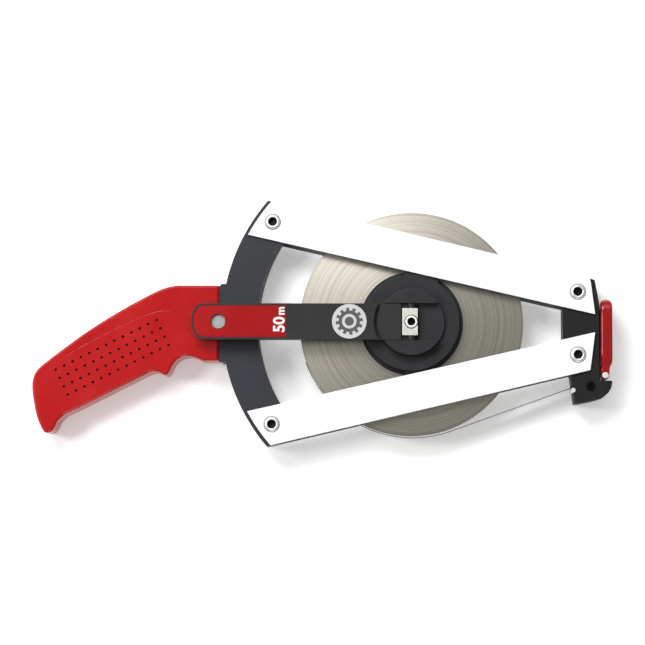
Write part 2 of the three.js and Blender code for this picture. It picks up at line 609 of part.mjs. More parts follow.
/** The crank's forked inner end: one ear beside the hinge block, on a low web. */
function armEar(side) {
  const inner = earInner;
  const outer = ARM.halfWidth;
  const low = LEVEL.hinge - ARM.neckThickness / 2;
  const disc = new THREE.CylinderGeometry(ARM.earRadius, ARM.earRadius, outer - inner, SMALL);
  const ear = solid(disc.translate(0, (side * (inner + outer)) / 2, LEVEL.hinge));
  const [near, far] = side > 0 ? [inner, outer] : [-outer, -inner];
  const web = block([ARM.inner - 1, near, low], [-ARM.pinRadius, far, LEVEL.hinge - 0.4]);
  return [ear, web];
}

/** The crank arm: thin inside the hub cap, grooved round the cap's edge, and hollow underneath. */
function armBody() {
  const whole = prism(armOutline(ARM.inner), LEVEL.armLow, LEVEL.armTop);
  const thin = ARM.neckThickness / 2;
  const above = bar(armNeck, LEVEL.hinge + thin, FAR, 0, 0, FINE);
  const below = bar(armNeck, -FAR, LEVEL.hinge - thin, 0, 0, FINE);
  const groove = ring(grooveInner, armNeck, LEVEL.hinge + thin - ARM.grooveDepth, FAR, FINE);
  const side = ARM.halfWidth - ARM.side;
  const roof = LEVEL.armTop - ARM.skin;
  const first = knobX + sleeveOuter + RUNNING + ARM.rib;
  const pitch = (-armNeck - ARM.rib - first + ARM.rib) / ARM.bays;
  const bays = Array.from({ length: ARM.bays }, (_, i) => first + i * pitch)
    .map((from) => block([from, -side, -FAR], [from + pitch - ARM.rib, side, roof]));
  const knobRoom = ring(bossRadius, sleeveOuter + RUNNING, -FAR, LEVEL.armTop - KNOB.pocketTop, ROUND);
  const top = LEVEL.armTop - LABEL.recess;
  const bosses = join(armEar(1)[0], armEar(1)[1], ...armEar(-1));
  const tubeHole = bar(tubeRadius + RUNNING, -FAR, FAR, knobX, 0, ROUND);
  const flangeRoom = bar(sleeveOuter + RUNNING, -FAR, knobLow + KNOB.flange + GAP, knobX, 0, ROUND);
  const labelRoom = prism(armOutline(labelEnd + 0.2, LABEL.rim - 0.2), top, FAR);
  const body = cut(whole, above, below, groove, ...bays, knobRoom.translate([knobX, 0, 0]), tubeHole,
    flangeRoom, labelRoom);
  return cut(join(body, bosses), pinHole(FAR), pinHole(-FAR));
}

piece('crank_arm', armBody(), MATERIAL.charcoal);

const labelLow = LEVEL.armTop - LABEL.recess + 0.1;
piece('crank_label', cut(prism(armOutline(labelEnd, LABEL.rim), labelLow, labelLow + LABEL.thickness),
  bar(KNOB.bore, -FAR, FAR, knobX, 0, ROUND)), MATERIAL.label);
piece('crank_medallion', bar(MEDALLION.radius, 0, MEDALLION.thickness, 0, 0, ROUND), MATERIAL.medal,
  [MEDALLION.x, 0, LEVEL.armTop + 0.05]);

piece('knob_spindle', turned([
  [KNOB.bore, knobLow], [sleeveOuter, knobLow], [sleeveOuter, knobLow + KNOB.flange],
  [tubeRadius, knobLow + KNOB.flange], [tubeRadius, labelLow - 0.2], [KNOB.bore, labelLow - 0.2],
], ROUND), MATERIAL.black, [knobX, 0, 0]);
const plugTop = LEVEL.armTop - KNOB.plugDepth;
piece('knob_plug', bar(KNOB.bore - GAP, plugTop - KNOB.plug, plugTop), MATERIAL.steel, [knobX, 0, 0]);
piece('knob_sleeve', ring(sleeveInner, sleeveOuter, knobLow + KNOB.flange + 0.2,
  LEVEL.armTop - KNOB.pocketTop - GAP, ROUND), MATERIAL.red, [knobX, 0, 0]);

// ---------------------------------------------------------------- tape end and its ring

/** The free tape: its last wrap lifts off the coil, then runs straight to the end fitting. */
function tapeRunBody() {
  const half = TAPE.thickness / 2;
  const steps = 20;
  const start = radians(-160);
  const stop = runAngle - Math.PI / 2;
  const inside = [];
  const outside = [];
  for (let i = 0; i <= steps; i += 1) {
    const share = i / steps;
    const lift = (TAPE.wrapLift - half - 0.2) * share * share * (3 - 2 * share);
    const radius = TAPE.coilRadius + half + 0.2 + lift;
    const angle = start + (stop - start) * share;
    inside.push(along(angle, radius - half));
    outside.push(along(angle, radius + half));
  }
  const end = ringPin[0] - FITTING.length - GAP;
  inside.push(onRun(end, half));
  outside.push(onRun(end, -half));
  return prism(outline([...inside, ...outside.reverse()]), -LEVEL.tape, LEVEL.tape);
}

piece('tape_run', tapeRunBody(), MATERIAL.tape);

/** The tape's end fitting: a plate clamped on the tape, rolled into a barrel round the ring's pin. */
function fittingBody() {
  const half = FITTING.plate / 2;
  const width = LEVEL.tape + 0.1;
  const plate = prism(outline([
    onRun(ringPin[0] - FITTING.length, -half), onRun(ringPin[0], -half),
    onRun(ringPin[0], half), onRun(ringPin[0] - FITTING.length, half),
  ]), -width, width);
  const barrel = bar(FITTING.barrel, -width, width, ...ringPin, ROUND);
  return cut(join(plate, barrel), bar(RING_PIN.radius + 0.2, -FAR, FAR, ...ringPin, SMALL));
}

piece('tape_end_fitting', fittingBody(), MATERIAL.steel);

const ringLeft = MOUTH.face + 0.5;
const ringRight = ringLeft + RING.depth;
const loopBottom = ringPin[1] + RING.loopBottom;

/** The end ring, seen from its side: narrow at the pin, wider above the mouthpiece's chin. */
function ringSide() {
  const [x, y] = ringPin;
  const shape = new THREE.Shape();
  shape.moveTo(ringLeft, y);
  shape.absarc(x, y, RING.waist, Math.PI, 2 * Math.PI, false);
  shape.lineTo(x + RING.waist, y + RING.waistTop - 1.5);
  shape.lineTo(ringRight, y + RING.waistTop + 1.5);
  shape.lineTo(ringRight, RING.top - 5);
  shape.quadraticCurveTo(ringRight, RING.top, ringRight - 4, RING.top);
  shape.quadraticCurveTo(ringLeft, RING.top, ringLeft, RING.top - 4);
  return shape;
}

/** The end ring, seen from the front: a finger loop above a fork that straddles the end fitting. */
function ringFront() {
  const [, y] = ringPin;
  const wide = RING.halfWidth;
  const narrow = RING.forkHalf;
  const shape = new THREE.Shape();
  shape.moveTo(-narrow, y - 5);
  shape.lineTo(narrow, y - 5);
  shape.lineTo(narrow, y + 6);
  shape.lineTo(wide, y + 12);
  shape.lineTo(wide, RING.top - 9);
  shape.quadraticCurveTo(wide, RING.top, wide - 9, RING.top);
  shape.lineTo(9 - wide, RING.top);
  shape.quadraticCurveTo(-wide, RING.top, -wide, RING.top - 9);
  shape.lineTo(-wide, y + 12);
  shape.lineTo(-narrow, y + 6);
  const hand = wide - RING.bar;
  const roof = RING.top - RING.bar - 1.5;
  const loop = new THREE.Path();
  loop.moveTo(-hand, loopBottom + 3);
  loop.lineTo(-hand + 3, loopBottom);
  loop.lineTo(hand - 3, loopBottom);
  loop.lineTo(hand, loopBottom + 3);
  loop.lineTo(hand, roof - 5);
  loop.quadraticCurveTo(hand, roof, hand - 5, roof);
  loop.lineTo(5 - hand, roof);
  loop.quadraticCurveTo(-hand, roof, -hand, roof - 5);
  shape.holes.push(loop);
  return shape;
}

/** The end ring: both of its outlines at once, forked and bored for the pin. */
function endRingBody() {
  const depth = 2 * RING.halfWidth;
  const side = prism(ringSide(), -RING.halfWidth, RING.halfWidth);
  const geometry = new THREE.ExtrudeGeometry(ringFront(), { depth, curveSegments: 6, bevelEnabled: false });
  const front = solid(geometry.rotateY(Math.PI / 2).translate(ringPin[0] - depth / 2, 0, 0));
  const throat = LEVEL.tape + 0.6;
  const fork = block([ringLeft - 5, -FAR, -throat], [ringRight + 5, ringPin[1] + RING.forkTop, throat]);
  const bore = bar(RING_PIN.radius + 0.2, -FAR, FAR, ...ringPin, SMALL);
  return cut(side.intersect(front), fork, bore);
}

piece('end_ring', endRingBody(), MATERIAL.red);
const pinHead = RING.forkHalf + 0.1;
const pinTop = pinHead + RING_PIN.headHeight;
piece('ring_pin', turned([
  [0, -RING.forkHalf - 0.4], [RING_PIN.radius, -RING.forkHalf - 0.4], [RING_PIN.radius, pinHead],
  [RING_PIN.head, pinHead], [RING_PIN.head, pinTop - 0.4], [RING_PIN.head - 0.5, pinTop], [0, pinTop],
], SMALL), MATERIAL.steel, [...ringPin, 0]);

const model = new THREE.Group();
model.add(assembly);

export default model;
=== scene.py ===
"""An open-frame reel with a long steel measuring tape: its finished look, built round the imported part.

Each sub-assembly is a class that makes its own pieces and dresses them. Lengths are metres.
"""

import logging
import math
from dataclasses import dataclass, field
from enum import Enum
from typing import Callable, Iterable, Optional, Sequence

import bmesh
import bpy
from mathutils import Matrix, Vector


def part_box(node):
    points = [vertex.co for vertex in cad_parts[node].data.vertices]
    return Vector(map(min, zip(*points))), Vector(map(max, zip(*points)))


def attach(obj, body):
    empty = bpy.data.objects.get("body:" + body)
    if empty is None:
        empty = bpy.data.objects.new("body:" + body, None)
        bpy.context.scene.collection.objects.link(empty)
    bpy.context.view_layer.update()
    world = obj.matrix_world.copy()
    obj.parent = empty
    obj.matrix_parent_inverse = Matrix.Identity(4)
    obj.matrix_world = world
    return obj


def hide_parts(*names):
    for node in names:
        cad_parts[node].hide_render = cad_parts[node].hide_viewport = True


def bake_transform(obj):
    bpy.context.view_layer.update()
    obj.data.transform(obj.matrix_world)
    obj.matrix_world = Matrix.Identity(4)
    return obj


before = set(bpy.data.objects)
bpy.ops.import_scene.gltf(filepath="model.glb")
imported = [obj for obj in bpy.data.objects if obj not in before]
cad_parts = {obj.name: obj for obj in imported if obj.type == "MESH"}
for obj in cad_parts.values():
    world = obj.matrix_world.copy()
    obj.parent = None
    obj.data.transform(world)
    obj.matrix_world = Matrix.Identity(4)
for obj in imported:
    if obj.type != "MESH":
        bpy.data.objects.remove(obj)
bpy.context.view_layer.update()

log = logging.getLogger("tape_reel")

MM = 0.001
RUN_ANGLE = math.radians(19.9)  # how far the free tape rises from +X
TAPE_EDGE = 9.0 * MM  # the height of the tape's lower edge
Piece = bpy.types.Object
Material = bpy.types.Material
Profile = Sequence[tuple[float, float]]


# -------- bench tools


def pick(*pieces: Piece) -> None:
    """Selects only the given pieces and makes the first one active."""
    bpy.ops.object.select_all(action="DESELECT")
    for piece in pieces:
        piece.select_set(True)
    bpy.context.view_layer.objects.active = pieces[0]


def start_edit(piece: Piece, kind: str = "VERT") -> None:
    """Opens a piece for editing with all of it selected.

    Args:
        piece: the piece to open.
        kind: what is picked in edit mode: VERT, EDGE or FACE.
    """
    pick(piece)
    bpy.ops.object.mode_set(mode="EDIT")
    bpy.ops.mesh.select_mode(type=kind)
    bpy.ops.mesh.select_all(action="SELECT")


def end_edit() -> None:
    """Goes back from edit mode to object mode."""
    bpy.ops.object.mode_set(mode="OBJECT")


def added(kind: Callable, **settings: object) -> Piece:
    """Adds a primitive, text, curve, lamp or camera with nothing else selected."""
    bpy.ops.object.select_all(action="DESELECT")
    kind(**settings)
    return bpy.context.view_layer.objects.active


def settle(piece: Piece) -> Piece:
    """Puts a piece's place, turn and scale into its mesh."""
    pick(piece)
    bpy.ops.object.transform_apply(location=True, rotation=True, scale=True)
    return piece


def merged_copy(node: str, name: str) -> Piece:
    """Copies a CAD node and merges its loose triangles into one clean skin.

    Args:
        node: the CAD node's name.
        name: the new piece's name.

    Returns:
        The new piece, on no body yet.
    """
    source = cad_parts[node]
    pick(source)
    bpy.ops.object.duplicate()
    piece = bpy.context.view_layer.objects.active
    piece.name = name
    piece.data.name = name
    piece.parent = None
    piece.matrix_world = Matrix.Identity(4)
    for key in list(piece.keys()):
        del piece[key]
    piece.data.materials.clear()
    start_edit(piece)
    bpy.ops.mesh.customdata_custom_splitnormals_clear()
    bpy.ops.mesh.remove_doubles(threshold=0.002 * MM)
    bpy.ops.mesh.dissolve_limited(angle_limit=math.radians(0.8))
    end_edit()
    return piece


def apply_modifier(piece: Piece, kind: str, **settings: object) -> None:
    """Adds a modifier, sets it and applies it.

    Args:
        piece: the piece that is changed.
        kind: the modifier's type.
        **settings: the modifier's values by name.
    """
    pick(piece)
    bpy.ops.object.modifier_add(type=kind)
    modifier = piece.modifiers[-1]
    for key, value in settings.items():
        setattr(modifier, key, value)
    bpy.ops.object.modifier_apply(modifier=modifier.name)


def soften(piece: Piece, width: float, segments: int = 2, angle: float = 30.0) -> Piece:
    """Rounds a piece's sharp edges and keeps its flat faces flat.

    Args:
        piece: the piece to round.
        width: how far the rounding reaches from each edge.
        segments: how many steps the rounding has.
        angle: the smallest bend, in degrees, that counts as an edge.

    Returns:
        The same piece.
    """
    apply_modifier(piece, "BEVEL", width=width, segments=segments, limit_method="ANGLE",
                   angle_limit=math.radians(angle), use_clamp_overlap=True, miter_outer="MITER_ARC")
    return shade(piece)


def shade(piece: Piece, angle: float = 32.0) -> Piece:
    """Shades a piece smooth over bends below an angle, with flat faces kept flat."""
    pick(piece)
    bpy.ops.object.shade_smooth_by_angle(angle=math.radians(angle))
    apply_modifier(piece, "WEIGHTED_NORMAL", mode="FACE_AREA", weight=80, keep_sharp=True)
    return piece


def turned(name: str, profile: Profile, sides: int = 96, centre: tuple[float, float] = (0, 0)) -> Piece:
    """Turns a closed profile about an upright axis, from one circle that is extruded and resized.

    Args:
        name: the new piece's name.
        profile: radius and height of each corner, in order; no radius is nought.
        sides: how many flat sides the round has.
        centre: where the axis stands.

    Returns:
        A closed piece. A profile that ends near the axis is closed by a flat cap at each end.
    """
    radius, height = profile[0]
    piece = settle(added(
        bpy.ops.mesh.primitive_circle_add, vertices=sides, radius=radius, location=(*centre, height)))
    piece.name = name
    start_edit(piece, "EDGE")
    for new_radius, new_height in profile[1:]:
        bpy.ops.mesh.extrude_edges_move(
            TRANSFORM_OT_translate={"value": (0, 0, new_height - height)})
        share = new_radius / radius
        bpy.ops.transform.resize(value=(share, share, 1), center_override=(*centre, new_height))
        radius, height = new_radius, new_height
    return close_up(piece)


def turned_ring(name: str, profile: Profile, sides: int = 96, centre: tuple[float, float] = (0, 0)) -> Piece:
    """Turns a profile that runs round a hole, and joins its last corner to its first."""
    return turned(name, [*profile, profile[0]], sides, centre)


def close_up(piece: Piece) -> Piece:
    """Merges doubled points, fills what is open and turns every face outwards."""
    bpy.ops.mesh.select_all(action="SELECT")
    bpy.ops.mesh.remove_doubles(threshold=0.001 * MM)
    bpy.ops.mesh.fill_holes(sides=0)
    bpy.ops.mesh.normals_make_consistent(inside=False)
    end_edit()
    return piece


def pick_faces(piece: Piece, wanted: Callable[[Vector, Vector], bool]) -> None:
    """Selects only the wanted faces of a piece that is in edit mode.

    Args:
        piece: the piece, in edit mode.
        wanted: says from a face's middle and normal whether it is meant.
    """
    bpy.ops.mesh.select_all(action="DESELECT")
    skin = bmesh.from_edit_mesh(piece.data)
    for face in skin.faces:
        if wanted(face.calc_center_median(), face.normal):
            face.select_set(True)
    bmesh.update_edit_mesh(piece.data)


def paint_faces(piece: Piece, material: Material, wanted: Callable[[Vector, Vector], bool]) -> None:
    """Gives the wanted faces of a piece another finish.

    Args:
        piece: the piece, in object mode.
        material: the finish.
        wanted: says from a face's middle and normal whether it is meant.
    """
    piece.data.materials.append(material)
    start_edit(piece, "FACE")
    pick_faces(piece, wanted)
    piece.active_material_index = len(piece.data.materials) - 1
    bpy.ops.object.material_slot_assign()
    end_edit()


def cut_with(piece: Piece, cutter: Piece) -> Piece:
    """Cuts one piece with another, which is used up, and closes the skin. A cut has the cutter's finish."""
    apply_modifier(piece, "BOOLEAN", object=cutter, operation="DIFFERENCE", solver="EXACT",
                   material_mode="TRANSFER")
    bpy.data.objects.remove(cutter)
    start_edit(piece)
    return close_up(piece)


def joined(name: str, pieces: Sequence[Piece]) -> Piece:
    """Joins pieces into the first one, under a new name."""
    pick(*pieces)
    bpy.ops.object.join()
    piece = bpy.context.view_layer.objects.active
    piece.name = name
    return piece


def dress(piece: Piece, material: Material) -> Piece:
    """Gives a piece its finish in the first slot."""
    if piece.data.materials:
        piece.data.materials[0] = material
    else:
        piece.data.materials.append(material)
    return piece


def mount(piece: Piece, body: str, slot: str, *nodes: str) -> Piece:
    """Hangs a finished piece on its body and lets it stand for CAD nodes."""
    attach(piece, body)
    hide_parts(*nodes)
    log.info("made %s: %d faces, on %s", piece.name, len(piece.data.polygons), body)
    return piece


def rounded(node: str, name: str, edge: float, steps: int, finish: Material, body: str, slot: str) -> Piece:
    """Copies a CAD node, rounds the copy's edges, dresses it and mounts it in the node's place.

    Args:
        node: the CAD node's name.
        name: the new piece's name.
        edge: how far the rounding reaches.
        steps: how many steps the rounding has.
        finish: its material.
        body: the body it rides on.
        slot: its material slot; not used.

    Returns:
        The new piece.
    """
    return mount(dress(soften(merged_copy(node, name), edge, steps), finish), body, slot, node)


# -------- shader groups


def linear(code: str) -> tuple[float, float, float, float]:
    """Turns a hex colour into the linear colour that shaders take."""
    shares = [int(code[i:i + 2], 16) / 255 for i in (0, 2, 4)]
    return (*[s / 12.92 if s <= 0.04045 else ((s + 0.055) / 1.055) ** 2.4 for s in shares], 1.0)


class Graph:
    """A node tree with short calls to place nodes and join them."""

    def __init__(self, tree: bpy.types.NodeTree) -> None:
        """Takes the tree to work in."""
        self.tree = tree

    def put(self, kind: str, inputs: Optional[dict] = None, **settings: object) -> bpy.types.Node:
        """Places a node.

        Args:
            kind: the node's type.
            inputs: a value or a socket for each input, by name or number.
            **settings: the node's own settings.

        Returns:
            The node.
        """
        node = self.tree.nodes.new(kind)
        for key, value in settings.items():
            setattr(node, key, value)
        for key, value in (inputs or {}).items():
            self.feed(node.inputs[key], value)
        return node

    def feed(self, socket: bpy.types.NodeSocket, value: object) -> None:
        """Joins a socket to an input, or sets the input's own value."""
        if isinstance(value, bpy.types.NodeSocket):
            self.tree.links.new(value, socket)
        else:
            socket.default_value = value

    def maths(self, operation: str, *values: object) -> bpy.types.NodeSocket:
        """Places a Math node and gives its result."""
        node = self.put("ShaderNodeMath", dict(enumerate(values)), operation=operation)
        return node.outputs[0]

    def ramp(self, value: object, low: float, high: float, to: tuple = (0.0, 1.0)) -> bpy.types.NodeSocket:
        """Maps a range of a value onto another, held at both ends."""
        node = self.put("ShaderNodeMapRange", {
            "Value": value, "From Min": low, "From Max": high, "To Min": to[0], "To Max": to[1]}, clamp=True)
        return node.outputs["Result"]

    def blend(self, share: object, first: object, second: object) -> bpy.types.NodeSocket:
        """Mixes two colours by a share."""
        node = self.tree.nodes.new("ShaderNodeMix")
        node.data_type = "RGBA"
        self.feed(node.inputs[0], share)
        self.feed(node.inputs[6], first)
        self.feed(node.inputs[7], second)
        return node.outputs[2]

    def emboss(self, shader: bpy.types.Node, height: object, depth: float) -> None:
        """Gives a shader the relief of a height, so many metres deep."""
        bump = self.put("ShaderNodeBump", {"Height": height, "Distance": depth})
        self.feed(shader.inputs["Normal"], bump.outputs[0])

    def object_place(self) -> bpy.types.NodeSocket:
        """The point on the piece, in metres."""
        return self.put("ShaderNodeTexCoord").outputs["Object"]

    def noise(self, scale: object, detail: float = 2.0, rough: float = 0.5) -> bpy.types.NodeSocket:
        """Noise over the piece, from 0 to 1."""
        node = self.put("ShaderNodeTexNoise", {
            "Vector": self.object_place(), "Scale": scale, "Detail": detail, "Roughness": rough})
        return node.outputs["Fac"]


def new_group(name: str, takes: dict, gives: Sequence[str]) -> tuple[Graph, bpy.types.Node, bpy.types.Node]:
    """Starts a shader node group.

    Args:
        name: the group's name.
        takes: each input's name with its usual value.
        gives: the name of each number it puts out.

    Returns:
        The graph, its input node and its output node.
    """
    tree = bpy.data.node_groups.new(name, "ShaderNodeTree")
    for key, value in takes.items():
        socket = tree.interface.new_socket(name=key, in_out="INPUT", socket_type="NodeSocketFloat")
        socket.default_value = value
    for key in gives:
        tree.interface.new_socket(name=key, in_out="OUTPUT", socket_type="NodeSocketFloat")
    return Graph(tree), tree.nodes.new("NodeGroupInput"), tree.nodes.new("NodeGroupOutput")


def moulded_grain() -> bpy.types.NodeTree:
    """The fine sparked grain of a mould, and slow changes of tone in the plastic.

    Returns:
        A group that takes Scale and gives Height and Tone.
    """
    graph, takes, gives = new_group("moulded grain", {"Scale": 2600.0}, ["Height", "Tone"])
    fine = graph.noise(takes.outputs["Scale"], 3.0, 0.6)
    graph.feed(gives.inputs["Height"], fine)
    slow = graph.noise(graph.maths("MULTIPLY", takes.outputs["Scale"], 0.015), 3.0, 0.6)
    graph.feed(gives.inputs["Tone"], graph.ramp(slow, 0.3, 0.7))
    return graph.tree


def painted_edge_highlight() -> bpy.types.NodeTree:
    """A painted highlight along a piece's edges, broken up by noise.

    Returns:
        A group that takes Width and Amount and gives Mask.
    """
    graph, takes, gives = new_group("painted edge highlight", {"Width": 0.6 * MM, "Amount": 1.0}, ["Mask"])
    bevel = graph.put("ShaderNodeBevel", {"Radius": takes.outputs["Width"]}, samples=4)
    flat = graph.put("ShaderNodeNewGeometry").outputs["Normal"]
    same = graph.put("ShaderNodeVectorMath", {0: bevel.outputs[0], 1: flat}, operation="DOT_PRODUCT")
    bend = graph.ramp(graph.maths("SUBTRACT", 1.0, same.outputs["Value"]), 0.01, 0.22)
    broken = graph.ramp(graph.noise(420.0, 4.0, 0.65), 0.42, 0.62)
    lit_edge = graph.maths("MULTIPLY", graph.maths("MULTIPLY", bend, broken), takes.outputs["Amount"])
    graph.feed(gives.inputs["Mask"], lit_edge)
    return graph.tree


def settled_dust() -> bpy.types.NodeTree:
    """A thin film of dust on faces that look up.

    Returns:
        A group that takes Amount and gives Mask.
    """
    graph, takes, gives = new_group("settled dust", {"Amount": 0.1}, ["Mask"])
    normal = graph.put("ShaderNodeNewGeometry").outputs["Normal"]
    up = graph.ramp(graph.put("ShaderNodeSeparateXYZ", {0: normal}).outputs["Z"], 0.3, 1.0)
    patchy = graph.ramp(graph.noise(55.0, 6.0, 0.7), 0.4, 0.75)
    film = graph.maths("MULTIPLY", graph.maths("MULTIPLY", up, patchy), takes.outputs["Amount"])
    graph.feed(gives.inputs["Mask"], film)
    return graph.tree


def wound_turns() -> bpy.types.NodeTree:
    """The edges of a wound band's turns: fine rings round the reel's axis, with brighter and duller groups.

    Returns:
        A group that takes Pitch, in turns for each metre of radius, and Lean, how far the edges slope
        outwards for each metre, and gives Line, Group and Height.
    """
    graph, takes, gives = new_group(
        "wound turns", {"Pitch": 2800.0, "Lean": 0.0}, ["Line", "Group", "Height"])
    place = graph.put("ShaderNodeSeparateXYZ", {0: graph.object_place()})
    squares = [graph.maths("MULTIPLY", place.outputs[axis], place.outputs[axis]) for axis in "XY"]
    radius = graph.maths("SQRT", graph.maths("ADD", *squares))
    drift = graph.maths("MULTIPLY", graph.noise(9.0, 1.0), 1.6 * MM)
    strayed = graph.maths("ADD", radius, drift)
    fine = graph.put("ShaderNodeTexNoise", {
        "W": graph.maths("MULTIPLY", strayed, takes.outputs["Pitch"]), "Scale": 1.0, "Detail": 2.0},
        noise_dimensions="1D")
    coarse = graph.put("ShaderNodeTexNoise", {
        "W": graph.maths("MULTIPLY", strayed, graph.maths("MULTIPLY", takes.outputs["Pitch"], 0.16)),
        "Scale": 1.0, "Detail": 3.0}, noise_dimensions="1D")
    graph.feed(gives.inputs["Line"], graph.ramp(fine.outputs["Fac"], 0.3, 0.7))
    graph.feed(gives.inputs["Group"], graph.ramp(coarse.outputs["Fac"], 0.35, 0.65))
    both = graph.maths("ADD", fine.outputs["Fac"], coarse.outputs["Fac"])
    fall = graph.maths("MULTIPLY", radius, takes.outputs["Lean"])
    graph.feed(gives.inputs["Height"], graph.maths("SUBTRACT", both, fall))
    return graph.tree


def graduation() -> bpy.types.NodeTree:
    """Printed ticks along a tape: short ones each millimetre, longer each five and ten.

    Returns:
        A group that takes Along and Across, in metres, and gives Mark.
    """
    graph, takes, gives = new_group("graduation", {"Along": 0.0, "Across": 0.0}, ["Mark"])
    marks = None
    for step, reach, width in ((1.0, 2.6, 0.16), (5.0, 4.0, 0.2), (10.0, 6.4, 0.26)):
        share = graph.maths("PINGPONG", takes.outputs["Along"], step * MM / 2)
        line = graph.maths("LESS_THAN", share, width * MM / 2)
        tick = graph.maths("MULTIPLY", line, graph.maths("LESS_THAN", takes.outputs["Across"], reach * MM))
        marks = tick if marks is None else graph.maths("MAXIMUM", marks, tick)
    graph.feed(gives.inputs["Mark"], marks)
    return graph.tree


class Effect(Enum):
    """The shared effects, each built once."""

    GRAIN = "moulded grain"
    WEAR = "painted edge highlight"
    DUST = "settled dust"
    TURNS = "wound turns"
    TICKS = "graduation"


MAKERS: dict[Effect, Callable[[], bpy.types.NodeTree]] = {
    Effect.GRAIN: moulded_grain,
    Effect.WEAR: painted_edge_highlight,
    Effect.DUST: settled_dust,
    Effect.TURNS: wound_turns,
    Effect.TICKS: graduation,
}


def effect(graph: Graph, kind: Effect, **inputs: object) -> bpy.types.Node:
    """Places a shared effect in a material, and builds it the first time.

    Args:
        graph: the material's graph.
        kind: which effect.
        **inputs: a value or a socket for each of its inputs.

    Returns:
        The group's node.
    """
    tree = bpy.data.node_groups.get(kind.value) or MAKERS[kind]()
    node = graph.tree.nodes.new("ShaderNodeGroup")
    node.node_tree = tree
    for key, value in inputs.items():
        graph.feed(node.inputs[key], value)
    return node


def new_material(name: str) -> tuple[Material, Graph, bpy.types.Node]:
    """Starts a material and gives it with its graph and its Principled shader."""
    material = bpy.data.materials.new(name)
    material.use_nodes = True
    graph = Graph(material.node_tree)
    return material, graph, material.node_tree.nodes["Principled BSDF"]


# -------- finishes


@dataclass(frozen=True)
class MouldedPlastic:
    """Injection-moulded plastic.

    Attributes:
        name: the material's name.
        colour: its hex colour.
        roughness: how dull it is.
        grain: how deep the mould's grain is, in metres.
        lit_edge: the hex colour of the painted highlight on its edges.
        edge_light: how much of the edges gets that painted highlight.
        dust: how much dust lies on it.
        coat: how much clear gloss lies over it.
        grain_scale: how fine the mould's grain is.
        gloss: how strongly it mirrors, from 0 to 1.
    """

    name: str
    colour: str
    roughness: float = 0.4
    grain: float = 0.02 * MM
    # Colour and amount of the painted edge highlight.
    lit_edge: str = "777777"
    edge_light: float = 0.35
    dust: float = 0.05
    coat: float = 0.0
    grain_scale: float = 2600.0
    gloss: float = 0.3

    def build(self) -> Material:
        """Builds the material."""
        material, graph, shader = new_material(self.name)
        grain = effect(graph, Effect.GRAIN, Scale=self.grain_scale)
        edge_light = effect(graph, Effect.WEAR, Amount=self.edge_light)
        dust = effect(graph, Effect.DUST, Amount=self.dust)
        base = linear(self.colour)
        deep = tuple(c * 0.88 for c in base[:3]) + (1.0,)
        colour = graph.blend(grain.outputs["Tone"], deep, base)
        # Painted edge highlight: the edges get the lighter edge colour.
        colour = graph.blend(edge_light.outputs["Mask"], colour, linear(self.lit_edge))
        colour = graph.blend(dust.outputs["Mask"], colour, linear("b9b4aa"))
        graph.feed(shader.inputs["Base Color"], colour)
        rough = graph.ramp(grain.outputs["Tone"], 0.0, 1.0, (self.roughness - 0.04, self.roughness + 0.05))
        graph.feed(shader.inputs["Roughness"], graph.maths("ADD", rough, dust.outputs["Mask"]))
        graph.emboss(shader, grain.outputs["Height"], self.grain)
        shader.inputs["Specular IOR Level"].default_value = self.gloss
        shader.inputs["Coat Weight"].default_value = self.coat
        shader.inputs["Coat Roughness"].default_value = 0.08
        return material


@dataclass(frozen=True)
class CoatedStrip:
    """Metal strip under a smooth baked coat, with grey metal painted along its edges by the edge-highlight
    mask.

    Attributes:
        name: the material's name.
        colour: the coat's hex colour.
        roughness: how dull the coat is.
    """

    name: str
    colour: str
    roughness: float = 0.32

    def build(self) -> Material:
        """Builds the material."""
        material, graph, shader = new_material(self.name)
        grain = effect(graph, Effect.GRAIN, Scale=900.0)
        edge_light = effect(graph, Effect.WEAR, Width=0.25 * MM, Amount=0.5)
        dust = effect(graph, Effect.DUST, Amount=0.04)
        base = linear(self.colour)
        cool = (base[0] * 0.965, base[1] * 0.98, base[2] * 0.985, 1.0)
        colour = graph.blend(grain.outputs["Tone"], cool, base)
        # The painted edge-highlight mask turns the edges grey and metallic here.
        colour = graph.blend(edge_light.outputs["Mask"], colour, linear("a9abad"))
        colour = graph.blend(dust.outputs["Mask"], colour, linear("cfcbc2"))
        graph.feed(shader.inputs["Base Color"], colour)
        graph.feed(shader.inputs["Roughness"], graph.ramp(
            grain.outputs["Tone"], 0.0, 1.0, (self.roughness - 0.03, self.roughness + 0.05)))
        graph.feed(shader.inputs["Metallic"], graph.maths("MULTIPLY", edge_light.outputs["Mask"], 0.8))
        graph.emboss(shader, grain.outputs["Height"], 0.008 * MM)
        return material


